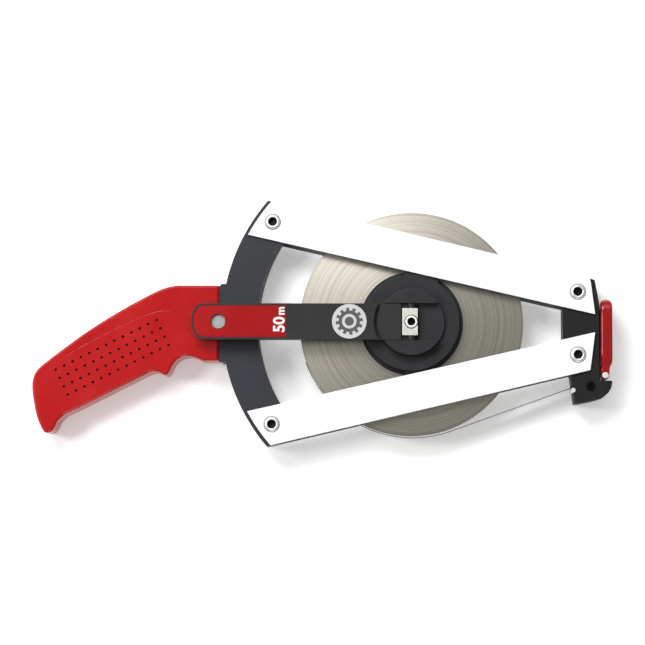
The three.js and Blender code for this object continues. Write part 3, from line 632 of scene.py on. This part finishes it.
@dataclass(frozen=True)
class BareMetal:
    """Turned, plated or brushed metal.

    Attributes:
        name: the material's name.
        colour: its hex colour.
        roughness: how dull it is.
        scratch: how deep its fine scratches are, in metres.
        tarnish: the hex colour of its dull patches.
        patches: how much of it is dull.
    """

    name: str
    colour: str
    roughness: float = 0.3
    scratch: float = 0.01 * MM
    tarnish: str = "6b675f"
    patches: float = 0.3

    def build(self) -> Material:
        """Builds the material."""
        material, graph, shader = new_material(self.name)
        place = graph.put("ShaderNodeMapping", {"Vector": graph.object_place(), "Scale": (900, 900, 6000)})
        lines = graph.put("ShaderNodeTexNoise", {"Vector": place.outputs[0], "Scale": 1.0, "Detail": 4.0})
        spots = graph.ramp(graph.noise(240.0, 5.0, 0.65), 0.5, 0.75, (0.0, self.patches))
        dust = effect(graph, Effect.DUST, Amount=0.05)
        colour = graph.blend(spots, linear(self.colour), linear(self.tarnish))
        colour = graph.blend(dust.outputs["Mask"], colour, linear("b9b4aa"))
        graph.feed(shader.inputs["Base Color"], colour)
        graph.feed(shader.inputs["Roughness"], graph.maths(
            "ADD", graph.ramp(lines.outputs["Fac"], 0.3, 0.7, (self.roughness - 0.06, self.roughness + 0.08)),
            graph.maths("MULTIPLY", spots, 0.3)))
        shader.inputs["Metallic"].default_value = 1.0
        graph.emboss(shader, lines.outputs["Fac"], self.scratch)
        return material


@dataclass(frozen=True)
class WoundSteel:
    """The side of the wound tape: hundreds of bright band edges, and ticks on its outermost turn."""

    name: str = "wound_steel"
    bright: str = "b4b0a5"
    dull: str = "8f8b82"
    coil_radius: float = 74.8 * MM
    relief: float = 0.014 * MM
    lean: float = 0.07

    def build(self) -> Material:
        """Builds the material."""
        material, graph, shader = new_material(self.name)
        turns = effect(graph, Effect.TURNS, Pitch=2800.0, Lean=self.lean / self.relief)
        tone = graph.maths("ADD", graph.maths("MULTIPLY", turns.outputs["Line"], 0.55),
                           graph.maths("MULTIPLY", turns.outputs["Group"], 0.45))
        colour = graph.blend(tone, linear(self.dull), linear(self.bright))
        place = graph.put("ShaderNodeSeparateXYZ", {0: graph.object_place()})
        around = graph.maths("ARCTAN2", place.outputs["Y"], place.outputs["X"])
        along = graph.maths("MULTIPLY", graph.maths("ADD", around, math.pi), self.coil_radius)
        across = graph.maths("SUBTRACT", place.outputs["Z"], TAPE_EDGE)
        ticks = effect(graph, Effect.TICKS, Along=along, Across=across)
        normal = graph.put("ShaderNodeNewGeometry").outputs["Normal"]
        side = graph.maths("ABSOLUTE", graph.put("ShaderNodeSeparateXYZ", {0: normal}).outputs["Z"])
        printed = graph.maths("MULTIPLY", ticks.outputs["Mark"], graph.maths("LESS_THAN", side, 0.5))
        colour = graph.blend(printed, colour, linear("161616"))
        graph.feed(shader.inputs["Base Color"], colour)
        graph.feed(shader.inputs["Roughness"], graph.ramp(turns.outputs["Line"], 0.0, 1.0, (0.4, 0.33)))
        graph.feed(shader.inputs["Metallic"], graph.ramp(printed, 0.0, 1.0, (1.0, 0.0)))
        graph.emboss(shader, turns.outputs["Height"], self.relief)
        return material


@dataclass(frozen=True)
class PrintedBand:
    """The free stretch of steel tape, with ticks along its lower edge."""

    name: str = "printed_band"

    def build(self) -> Material:
        """Builds the material."""
        material, graph, shader = new_material(self.name)
        turned_place = graph.put("ShaderNodeMapping", {
            "Vector": graph.object_place(), "Rotation": (0, 0, -RUN_ANGLE)})
        place = graph.put("ShaderNodeSeparateXYZ", {0: turned_place.outputs[0]})
        across = graph.maths("SUBTRACT", place.outputs["Z"], TAPE_EDGE)
        ticks = effect(graph, Effect.TICKS, Along=place.outputs["X"], Across=across)
        streaks = graph.put("ShaderNodeTexNoise", {
            "Vector": graph.put("ShaderNodeMapping", {
                "Vector": turned_place.outputs[0], "Scale": (60, 60, 5000)}).outputs[0], "Scale": 1.0})
        colour = graph.blend(streaks.outputs["Fac"], linear("a8a294"), linear("dcd6c8"))
        colour = graph.blend(ticks.outputs["Mark"], colour, linear("161616"))
        normal = graph.put("ShaderNodeNewGeometry").outputs["Normal"]
        edge = graph.maths("ABSOLUTE", graph.put("ShaderNodeSeparateXYZ", {0: normal}).outputs["Z"])
        colour = graph.blend(graph.ramp(edge, 0.4, 0.8), colour, linear("55544f"))
        graph.feed(shader.inputs["Base Color"], colour)
        graph.feed(shader.inputs["Roughness"], graph.ramp(streaks.outputs["Fac"], 0.0, 1.0, (0.25, 0.4)))
        graph.feed(shader.inputs["Metallic"], graph.ramp(ticks.outputs["Mark"], 0.0, 1.0, (0.9, 0.0)))
        graph.emboss(shader, streaks.outputs["Fac"], 0.01 * MM)
        return material


def kept(finish: MouldedPlastic | CoatedStrip | BareMetal | WoundSteel | PrintedBand) -> Material:
    """A place on the shelf for a finish, whose material is built when the shelf is."""
    return field(default_factory=finish.build)


@dataclass
class Shelf:
    """Every finish of the reel, each built once."""

    # In each MouldedPlastic below, the fifth value is the colour of its painted edge highlight and the sixth
    # how much of the edges gets it.
    grip: Material = kept(MouldedPlastic(
        "grip_red", "b0080c", 0.2, 0.004 * MM, "d06068", 0.15, 0.006, gloss=0.35))
    # Painted shade: a dark red laid in the dimples, where their shadow falls.
    dimple_shade: Material = kept(MouldedPlastic("grip_dimple_shade", "2a0c0e", 0.8, edge_light=0.0))
    # Painted shade: a near-black laid in hollows, grooves and round rivet feet, where shade falls.
    hollow: Material = kept(MouldedPlastic("rivet_hollow", "15181b", 0.7, edge_light=0.0))
    slate: Material = kept(MouldedPlastic(
        "bow_slate", "2a2c33", 0.52, 0.02 * MM, "8d909a", 0.3, 0.015, gloss=0.25))
    black: Material = kept(MouldedPlastic(
        "mouth_black", "18181a", 0.52, 0.015 * MM, "5f666c", 0.3, 0.01, gloss=0.2))
    charcoal: Material = kept(MouldedPlastic(
        "hub_charcoal", "27282b", 0.44, 0.02 * MM, "6a6c70", 0.3, 0.015, gloss=0.2))
    arm: Material = kept(MouldedPlastic(
        "crank_charcoal", "2a2a2b", 0.42, 0.02 * MM, "77787a", 0.35, 0.012, gloss=0.2))
    label: Material = kept(MouldedPlastic(
        "label_red", "9e070c", 0.36, 0.004 * MM, "d8606a", 0.1, 0.008, gloss=0.15))
    print_white: Material = kept(MouldedPlastic("print_white", "f6f4f2", 0.5, 0.004 * MM, edge_light=0.0))
    print_grey: Material = kept(MouldedPlastic("print_grey", "515154", 0.5, 0.004 * MM, edge_light=0.0))
    disc_white: Material = kept(MouldedPlastic("disc_white", "c8c8ca", 0.45, 0.004 * MM, "c9c9c9", 0.1, 0.02))
    ring_red: Material = kept(MouldedPlastic(
        "ring_red", "990609", 0.12, 0.002 * MM, "d06068", 0.1, 0.005, 0.3, gloss=0.3))
    screw_black: Material = kept(MouldedPlastic(
        "screw_black", "0b0b0b", 0.6, 0.004 * MM, "3a3a3c", 0.2, 0.0, gloss=0.05))
    plug: Material = kept(MouldedPlastic("plug_grey", "a2a5a3", 0.5, 0.01 * MM, edge_light=0.1))
    strip: Material = kept(CoatedStrip("strut_white", "f2f3f3"))
    bright: Material = kept(BareMetal("plated_steel", "efefec", 0.46, 0.006 * MM, "b4b1aa", 0.2))
    # Darker grey metal for the struts' inner faces; it partly stands in for the shade under the front struts.
    bare_and_shade: Material = kept(BareMetal("strut_bare_and_shade", "8d9092", 0.4))
    zinc: Material = kept(BareMetal("zinc_steel", "b4b4b0", 0.34))
    pale: Material = kept(BareMetal("hinge_steel", "c9c9c1", 0.5, 0.006 * MM, "a8a89e", 0.15))
    bronze: Material = kept(BareMetal("bush_bronze", "a8834a", 0.34))
    winding: Material = kept(WoundSteel())
    band: Material = kept(PrintedBand())


# -------- grip


@dataclass
class Grip:
    """The bent handle: two moulded shells with dimples and a raised palm pad, held by three screws."""

    shelf: Shelf
    edge: float = 1.3 * MM
    rows: int = 4
    in_row: int = 13
    first: tuple[float, float] = (-237.5 * MM, -31.7 * MM)
    step: tuple[float, float] = (5.6 * MM, 2.78 * MM)
    row_step: tuple[float, float] = (2.74 * MM, -5.57 * MM)
    dimple: float = 1.05 * MM
    depth: float = 1.3 * MM
    pad_line: tuple = ((-231, -22), (-217, -13.6), (-200, -5.2), (-186, 1.6), (-172.2, 7.4), (-164.1, 8.7),
                       (-157, 6.6), (-151.6, 1.9), (-146.5, -8.2), (-141.5, -17))
    pad_groove: float = 0.45 * MM
    pad_lift: float = 0.03 * MM

    def build(self) -> None:
        """Makes both shells and the screws."""
        for side, name in ((1, "front"), (-1, "back")):
            node = f"handle_{name}_shell"
            shell = soften(merged_copy(node, f"grip_{name}_shell"), self.edge, 3, 26)
            dress(shell, self.shelf.grip)
            low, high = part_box(node)
            face = high.z if side > 0 else low.z
            cut_with(shell, self.dimples(face, side))
            cut_with(shell, self.groove(face))
            shade(shell)
            mount(shell, "frame", "grip", node)
        for number in (1, 2, 3):
            screw = ScrewHead(f"handle_screw_{number}", f"grip_screw_{number}", "screws", self.shelf.zinc, -1)
            screw.build()

    def dimples(self, face: float, side: int) -> Piece:
        """Makes the cutter for all of one face's dimples.

        Args:
            face: the height of the face.
            side: 1 for the front face and -1 for the back face.

        Returns:
            One piece that holds every small tapered plug.
        """
        low_end, high_end = (self.dimple * share for share in ((0.8, 1.0) if side > 0 else (1.0, 0.8)))
        plugs = []
        for row in range(self.rows):
            for place in range(self.in_row):
                x = self.first[0] + row * self.row_step[0] + place * self.step[0]
                y = self.first[1] + row * self.row_step[1] + place * self.step[1]
                plugs.append(settle(added(
                    bpy.ops.mesh.primitive_cone_add, vertices=14, radius1=low_end, radius2=high_end,
                    depth=2 * self.depth, location=(x, y, face))))
        # The dimple walls take the cutter's dark red: painted shade in the dimples.
        return dress(joined("dimple_cutter", plugs), self.shelf.dimple_shade)

    def groove(self, face: float) -> Piece:
        """Makes the cutter for the line round the palm pad, from a bent circle swept along a curve."""
        path = added(bpy.ops.curve.primitive_nurbs_path_add, location=(0, 0, 0))
        spline = path.data.splines[0]
        spline.points.add(len(self.pad_line) - len(spline.points))
        for point, (x, y) in zip(spline.points, self.pad_line):
            point.co = (x * MM, y * MM, face + self.pad_lift, 1)
        spline.use_endpoint_u = True
        path.data.dimensions = "3D"
        path.data.bevel_depth = self.pad_groove
        path.data.bevel_resolution = 1
        path.data.use_fill_caps = True
        path.data.resolution_u = 6
        pick(path)
        bpy.ops.object.convert(target="MESH")
        path.name = "pad_cutter"
        start_edit(path)
        bpy.ops.mesh.remove_doubles(threshold=0.001 * MM)
        bpy.ops.mesh.normals_make_consistent(inside=False)
        end_edit()
        return dress(path, self.shelf.grip)


@dataclass
class ScrewHead:
    """A screw with a low round head and a hexagon socket.

    Attributes:
        node: the CAD node that it stands for.
        name: its name.
        slot: its material slot; not used.
        finish: its material.
        side: 1 if its head looks up, -1 if it looks down.
        shank: the radius of its shank.
        thickness: how tall its head is.
        rounding: how far the head's rim is rounded.
        share: the socket's radius as a share of the head's.
        depth: how deep the socket is.
    """

    node: str
    name: str
    slot: str
    finish: Material
    side: int
    shank: float = 1.5 * MM
    thickness: float = 1.8 * MM
    rounding: float = 0.5 * MM
    share: float = 0.5
    depth: float = 1.1 * MM

    def build(self) -> Piece:
        """Makes the screw."""
        low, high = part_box(self.node)
        centre = (low + high) / 2
        radius = (high.x - low.x) / 2
        face, tip = (high.z, low.z) if self.side > 0 else (low.z, high.z)
        rim = face - self.side * self.rounding
        bend = self.rounding * (1 - math.sqrt(0.5))
        screw = turned(self.name, [
            (self.shank / 2, tip), (self.shank, tip + self.side * self.shank / 2),
            (self.shank, face - self.side * self.thickness), (radius, face - self.side * self.thickness),
            (radius, rim), (radius - bend, face - self.side * bend), (radius - self.rounding, face),
        ], 48, (centre.x, centre.y))
        dress(screw, self.finish)
        socket = settle(added(
            bpy.ops.mesh.primitive_cylinder_add, vertices=6, radius=radius * self.share,
            depth=2 * self.depth, location=(centre.x, centre.y, face)))
        cut_with(screw, dress(socket, self.finish))
        return mount(shade(screw), "frame", self.slot, self.node)


# -------- frame


@dataclass
class ReelFrame:
    """The fixed frame: bow, struts, rivets, mouthpiece, bearing plates and back cover."""

    shelf: Shelf
    bow_edge: float = 0.9 * MM
    strut_edge: float = 0.3 * MM
    mouth_edge: float = 1.1 * MM
    hub_edge: float = 0.4 * MM
    rivet_step: float = 0.3 * MM
    rivet_shank: float = 3.3 * MM
    rivet_hollow: float = 2.85 * MM

    def build(self) -> None:
        """Makes every piece of the frame."""
        rounded("rear_bow", "bow", self.bow_edge, 3, self.shelf.slate, "frame", "bow")
        for layer in ("front", "back"):
            for end in ("upper", "lower"):
                node = f"strut_{layer}_{end}"
                strut = soften(merged_copy(node, f"{layer}_{end}_strut"), self.strut_edge, 2)
                dress(strut, self.shelf.strip)
                inward = -1 if layer == "front" else 1
                # The inner faces get a darker grey metal finish; it partly stands in for the shade under the
                # front struts.
                paint_faces(strut, self.shelf.bare_and_shade, lambda place, normal: normal.z * inward > 0.9)
                mount(strut, "frame", "struts", node)
            rounded(f"mouth_{layer}_shell", f"mouthpiece_{layer}", self.mouth_edge, 3,
                    self.shelf.black, "frame", "mouth")
            rounded(f"bearing_plate_{layer}", f"{layer}_bearing_plate", self.hub_edge, 2,
                    self.shelf.charcoal, "frame", "hub")
        rounded("back_cover", "rear_hub_cover", self.hub_edge, 2, self.shelf.charcoal, "frame", "hub")
        ScrewHead("mouth_screw", "mouthpiece_screw", "mouth", self.shelf.screw_black, 1,
                  shank=1.1 * MM, thickness=1.6 * MM, share=0.35).build()
        for end in ("rear", "front"):
            for side in ("upper", "lower"):
                self.rivet(f"rivet_{end}_{side}", f"{end}_{side}_rivet")
        dress(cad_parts["axle_bush"], self.shelf.bronze)
        dress(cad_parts["tape_guide_pin"], self.shelf.bright)

    def rivet(self, node: str, name: str) -> None:
        """Makes one tubular rivet, with a rolled head at each end round a blind hollow; its hollow and the
        thin foot round each head get painted shade.

        Args:
            node: the CAD node that gives its place and height.
            name: the new piece's name.
        """
        low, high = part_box(node)
        centre = ((low.x + high.x) / 2, (low.y + high.y) / 2)
        foot = (high.x - low.x) / 2
        head = foot - self.rivet_step
        shank, hollow = self.rivet_shank, self.rivet_hollow

        def end(top: float, way: int) -> list[tuple[float, float]]:
            """The corners of one head, from the shank outwards and into the hollow."""
            corners = ((shank, 1.4), (foot, 1.4), (foot, 1.28), (head, 1.26), (head, 0.95),
                       (head - 0.5 * MM, 0.5), (head - 1.2 * MM, 0.12), (hollow + 0.65 * MM, 0.0),
                       (hollow + 0.25 * MM, 0.1), (hollow, 0.5), (hollow, 4.6))
            return [(radius, top - way * below * MM) for radius, below in corners]

        rivet = turned(name, [*reversed(end(low.z, -1)), *end(high.z, 1)], 48, centre)
        dress(rivet, self.shelf.bright)
        axis = Vector(centre)
        # Painted shade: the hollow's walls and the foot under each head's rim are near-black.
        paint_faces(rivet, self.shelf.hollow, lambda place, normal: not (
            hollow + 0.02 * MM < (place.xy - axis).length < head + 0.1 * MM))
        mount(shade(rivet), "frame", "rivets", node)


# -------- reel


@dataclass
class WindingReel:
    """What turns: spool, wound tape, cap, hinge block and axle."""

    shelf: Shelf
    turns: int = 60
    wander: float = 0.012 * MM
    dish: float = 0.5 * MM
    axle_hollow: float = 2.75 * MM
    axle_head: float = 4.1 * MM
    seat_width: float = 0.5 * MM
    seat_depth: float = 0.35 * MM

    def build(self) -> None:
        """Makes the reel's pieces."""
        self.coil()
        rounded("hub_cap", "slotted_cap", 0.3 * MM, 2, self.shelf.charcoal, "reel", "hub")
        block = dress(soften(merged_copy("hinge_block", "crank_hinge_block"), 0.25 * MM, 2), self.shelf.pale)
        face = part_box("hinge_block")[1].z
        near = self.axle_head + 0.05 * MM
        far = near + self.seat_width
        low, high = face - self.seat_depth, face + 1 * MM
        # Painted shadow line: a shallow ring groove round the axle head, its faces near-black.
        ring = turned_ring("ring_cutter", [(near, low), (far, low), (far, high), (near, high)], 48)
        cut_with(block, dress(ring, self.shelf.hollow))
        mount(shade(block), "reel", "rivets", "hinge_block")
        self.axle()
        rounded("spool", "tape_spool", 0.25 * MM, 2, self.shelf.charcoal, "reel", "hub")
        for node in ("tape_anchor_pin", "axle_clip", "pivot_pin_upper", "pivot_pin_lower"):
            dress(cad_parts[node], self.shelf.zinc)

    def axle(self) -> None:
        """Makes the tubular axle, with painted shade down its hollow."""
        axle = dress(soften(merged_copy("axle", "reel_axle"), 0.15 * MM, 2), self.shelf.bright)
        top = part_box("axle")[1].z
        paint_faces(axle, self.shelf.hollow, lambda place, normal: (
            place.xy.length < self.axle_hollow and top - 6 * MM < place.z < top - 0.3 * MM))
        mount(axle, "reel", "rivets", "axle")

    def coil(self) -> None:
        """Makes the wound tape, with its turns standing a little higher and lower than each other."""
        low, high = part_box("tape_coil")
        outer = (high.x - low.x) / 2
        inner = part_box("spool")[1].x - 0.45 * MM
        count = self.turns
        step = (outer - inner) / count

        def stand(number: int) -> float:
            """How far one group of turns lies below the tape's edge."""
            uneven = self.wander * (0.5 + 0.3 * math.sin(number * 2.4) + 0.2 * math.sin(number * 5.9 + 1))
            return uneven + self.dish * (number / count) ** 1.5

        top = [(inner + step * (i + share), high.z - stand(i))
               for i in range(count) for share in (0.12, 0.88)]
        bottom = [(radius, low.z + high.z - height) for radius, height in reversed(top)]
        rim = [(outer, top[-1][1] - 0.3 * MM), (outer, bottom[0][1] + 0.3 * MM)]
        coil = turned_ring("wound_tape", [*top, *rim, *bottom], 128)
        mount(dress(shade(coil, 20), self.shelf.winding), "reel", "tape", "tape_coil")


# -------- crank


@dataclass
class Crank:
    """The flip-over crank: arm, red inlay with its generic length mark, white disc and winding knob."""

    shelf: Shelf
    edge: float = 0.55 * MM
    figure_height: float = 7.6 * MM
    figure_x: float = -87.4 * MM
    figure_y: float = -2.2 * MM
    unit_height: float = 5.2 * MM
    unit_x: float = -86.5 * MM
    unit_y: float = 6.9 * MM
    size_of_height: float = 1.38
    stroke: float = 0.26 * MM
    ink: float = 0.05 * MM
    ring_inner: float = 0.42
    ring_outer: float = 0.62
    teeth: int = 12
    tooth: float = 1.26

    def build(self) -> None:
        """Makes the crank's pieces."""
        rounded("crank_arm", "crank", self.edge, 3, self.shelf.arm, "crank", "crank")
        rounded("crank_label", "crank_inlay", 0.12 * MM, 2, self.shelf.label, "crank", "label")
        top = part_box("crank_label")[1].z
        for name, words, height, x, y in (
                ("length_figure", "50", self.figure_height, self.figure_x, self.figure_y),
                ("length_unit", "m", self.unit_height, self.unit_x, self.unit_y)):
            text = self.lettering(name, words, height, (x, y, top))
            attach(text, "crank")
        self.disc()
        rounded("knob_spindle", "winding_spindle", 0.25 * MM, 2, self.shelf.black, "knob_core", "crank")
        dress(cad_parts["knob_plug"], self.shelf.plug)
        rounded("knob_sleeve", "winding_sleeve", 0.3 * MM, 2, self.shelf.grip, "knob_grip", "knob")

    def lettering(self, name: str, words: str, height: float, place: tuple[float, float, float]) -> Piece:
        """Makes raised print that reads from the bottom up.

        Args:
            name: the new piece's name.
            words: what it says.
            height: how tall a figure is.
            place: the middle of the print, on the face it lies on.

        Returns:
            The print as a thin closed mesh.
        """
        text = added(bpy.ops.object.text_add, location=(0, 0, 0))
        text.name = name
        text.data.body = words
        text.data.align_x = "CENTER"
        text.data.align_y = "CENTER"
        text.data.size = height * self.size_of_height
        text.data.extrude = self.ink
        text.data.offset = self.stroke
        text.data.resolution_u = 4
        pick(text)
        bpy.ops.object.convert(target="MESH")
        text.rotation_euler = (0, 0, math.pi / 2)
        text.location = place
        settle(text)
        start_edit(text)
        close_up(text)
        return dress(text, self.shelf.print_white)

    def disc(self) -> None:
        """Makes the white disc with a plain toothed wheel printed on it."""
        low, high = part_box("crank_medallion")
        centre = ((low.x + high.x) / 2, (low.y + high.y) / 2)
        radius = (high.x - low.x) / 2
        rounded("crank_medallion", "crank_disc", 0.15 * MM, 2, self.shelf.disc_white, "crank", "medallion")
        wheel = self.wheel(centre, high.z, radius)
        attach(wheel, "crank")

    def wheel(self, centre: tuple[float, float], face: float, radius: float) -> Piece:
        """Makes a thin wheel with square teeth round a ring, and a boss in its middle.

        Args:
            centre: the disc's middle.
            face: the height of the disc's face.
            radius: the disc's radius.

        Returns:
            The wheel.
        """
        low = face - 0.02 * MM
        high = face + self.ink
        inner, outer = radius * self.ring_inner, radius * self.ring_outer
        rim = turned_ring("wheel", [(inner, low), (outer, low), (outer, high), (inner, high)], 48, centre)
        start_edit(rim, "FACE")
        middle = Vector((*centre, 0))
        pick_faces(rim, lambda place, normal: abs(normal.z) < 0.3
                   and (place - middle).xy.length > radius * 0.55
                   and math.sin(math.atan2(place.y - middle.y, place.x - middle.x) * self.teeth) > 0)
        bpy.ops.mesh.extrude_region()
        bpy.ops.transform.resize(value=(self.tooth, self.tooth, 1), center_override=(*centre, face))
        end_edit()
        boss = turned("wheel_boss", [(radius * 0.12, low), (radius * 0.26, low), (radius * 0.26, high),
                                     (radius * 0.12, high)], 32, centre)
        wheel = joined("printed_wheel", [rim, boss])
        return dress(wheel, self.shelf.print_grey)


# -------- tape end


@dataclass
class TapeEnd:
    """The free tape, its end fitting and pin, and the finger ring."""

    shelf: Shelf
    voxel: float = 0.36 * MM
    rounding: int = 130
    leave: tuple[float, float] = (30 * MM, -70.5 * MM)
    held: float = 1.0 * MM

    def build(self) -> None:
        """Makes the tape's end."""
        band = merged_copy("tape_run", "free_tape")
        dress(shade(band, 25), self.shelf.band)
        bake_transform(band)
        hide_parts("tape_run")
        log.info("made %s: %d faces, between frame and tape_end", band.name, len(band.data.polygons))
        rounded("tape_end_fitting", "end_fitting", 0.25 * MM, 2, self.shelf.zinc, "tape_end", "rivets")
        rounded("ring_pin", "finger_ring_pin", 0.2 * MM, 2, self.shelf.bright, "tape_end", "rivets")
        ring = merged_copy("end_ring", "finger_ring_loop")
        apply_modifier(ring, "REMESH", mode="VOXEL", voxel_size=self.voxel)
        apply_modifier(ring, "SMOOTH", factor=0.5, iterations=self.rounding)
        apply_modifier(ring, "DECIMATE", ratio=0.45)
        pick(ring)
        bpy.ops.object.shade_smooth()
        mount(dress(ring, self.shelf.ring_red), "finger_ring", "ring", "end_ring")


# -------- studio


@dataclass(frozen=True)
class Lamp:
    """A soft square lamp that looks at a point."""

    name: str
    place: tuple[float, float, float]
    size: float
    power: float
    colour: tuple[float, float, float] = (1.0, 1.0, 1.0)

    def hang(self, aim: Vector) -> None:
        """Hangs the lamp so that it looks at a point."""
        lamp = added(bpy.ops.object.light_add, type="AREA", location=self.place)
        lamp.name = self.name
        lamp.data.size = self.size
        lamp.data.energy = self.power
        lamp.data.color = self.colour
        lamp.rotation_euler = (aim - Vector(self.place)).to_track_quat("-Z", "Y").to_euler()


@dataclass
class Studio:
    """Floor, lamps, surroundings and camera."""

    aim: tuple[float, float, float] = (-0.0592, 0.0001, 0.030)
    eye: tuple[float, float, float] = (-0.008, -0.138, 1.68)
    view_width: float = 0.4302
    roll: float = -0.22
    lamps: tuple[Lamp, ...] = (
        Lamp("key", (-0.45, 0.75, 1.2), 0.6, 14.0),
        Lamp("left", (-1.05, 0.13, 1.25), 0.35, 8.0, (1.0, 0.99, 0.97)),
        Lamp("second", (0.30, 0.95, 1.25), 0.8, 3.0, (0.98, 0.99, 1.0)),
        Lamp("low_front", (0.1, -1.3, 0.35), 0.45, 2.0, (0.97, 0.98, 1.0)),
    )
    sky: float = 0.4
    floor_light: float = 0.28

    def build(self) -> None:
        """Sets up the studio."""
        self.floor()
        for lamp in self.lamps:
            lamp.hang(Vector(self.aim))
        world = bpy.data.worlds.new("studio_air")
        world.use_nodes = True
        world.node_tree.nodes["Background"].inputs[0].default_value = (1, 1, 1, 1)
        world.node_tree.nodes["Background"].inputs[1].default_value = self.sky
        bpy.context.scene.world = world
        bpy.context.scene.view_settings.view_transform = "Standard"
        self.camera()

    def floor(self) -> None:
        """Lays a wide pale sheet under the reel, lit a little from below like a light table."""
        floor = added(bpy.ops.mesh.primitive_plane_add, size=6, location=(0, 0, -0.0001))
        floor.name = "floor"
        material, graph, shader = new_material("floor_paper")
        mottled = graph.ramp(graph.noise(3.0, 3.0), 0.3, 0.7)
        graph.feed(shader.inputs["Base Color"], graph.blend(mottled, linear("f4f4f5"), linear("f7f7f7")))
        shader.inputs["Roughness"].default_value = 0.8
        shader.inputs["Emission Color"].default_value = (1, 1, 1, 1)
        shader.inputs["Emission Strength"].default_value = self.floor_light
        dress(floor, material)

    def camera(self) -> None:
        """Stands the camera high over the reel, a little towards its lower side."""
        aim, eye = Vector(self.aim), Vector(self.eye)
        back = (eye - aim).normalized()
        right = Vector((0, 1, 0)).cross(back).normalized()
        turn = Matrix((right, back.cross(right), back)).transposed()
        camera = added(bpy.ops.object.camera_add, location=eye)
        spin = Matrix.Rotation(math.radians(-self.roll), 3, "Z")
        camera.rotation_euler = (turn @ spin).to_euler()
        camera.data.lens = camera.data.sensor_width * (eye - aim).length / self.view_width
        camera.data.clip_end = 50
        bpy.context.scene.camera = camera


# -------- whole


def main() -> None:
    """Builds the reel, one sub-assembly after another, and then the studio."""
    logging.basicConfig(level=logging.INFO, format="%(name)s: %(message)s")
    shelf = Shelf()
    for part in (Grip(shelf), ReelFrame(shelf), WindingReel(shelf), Crank(shelf), TapeEnd(shelf)):
        part.build()
    Studio().build()


if __name__ == "__main__":
    main()
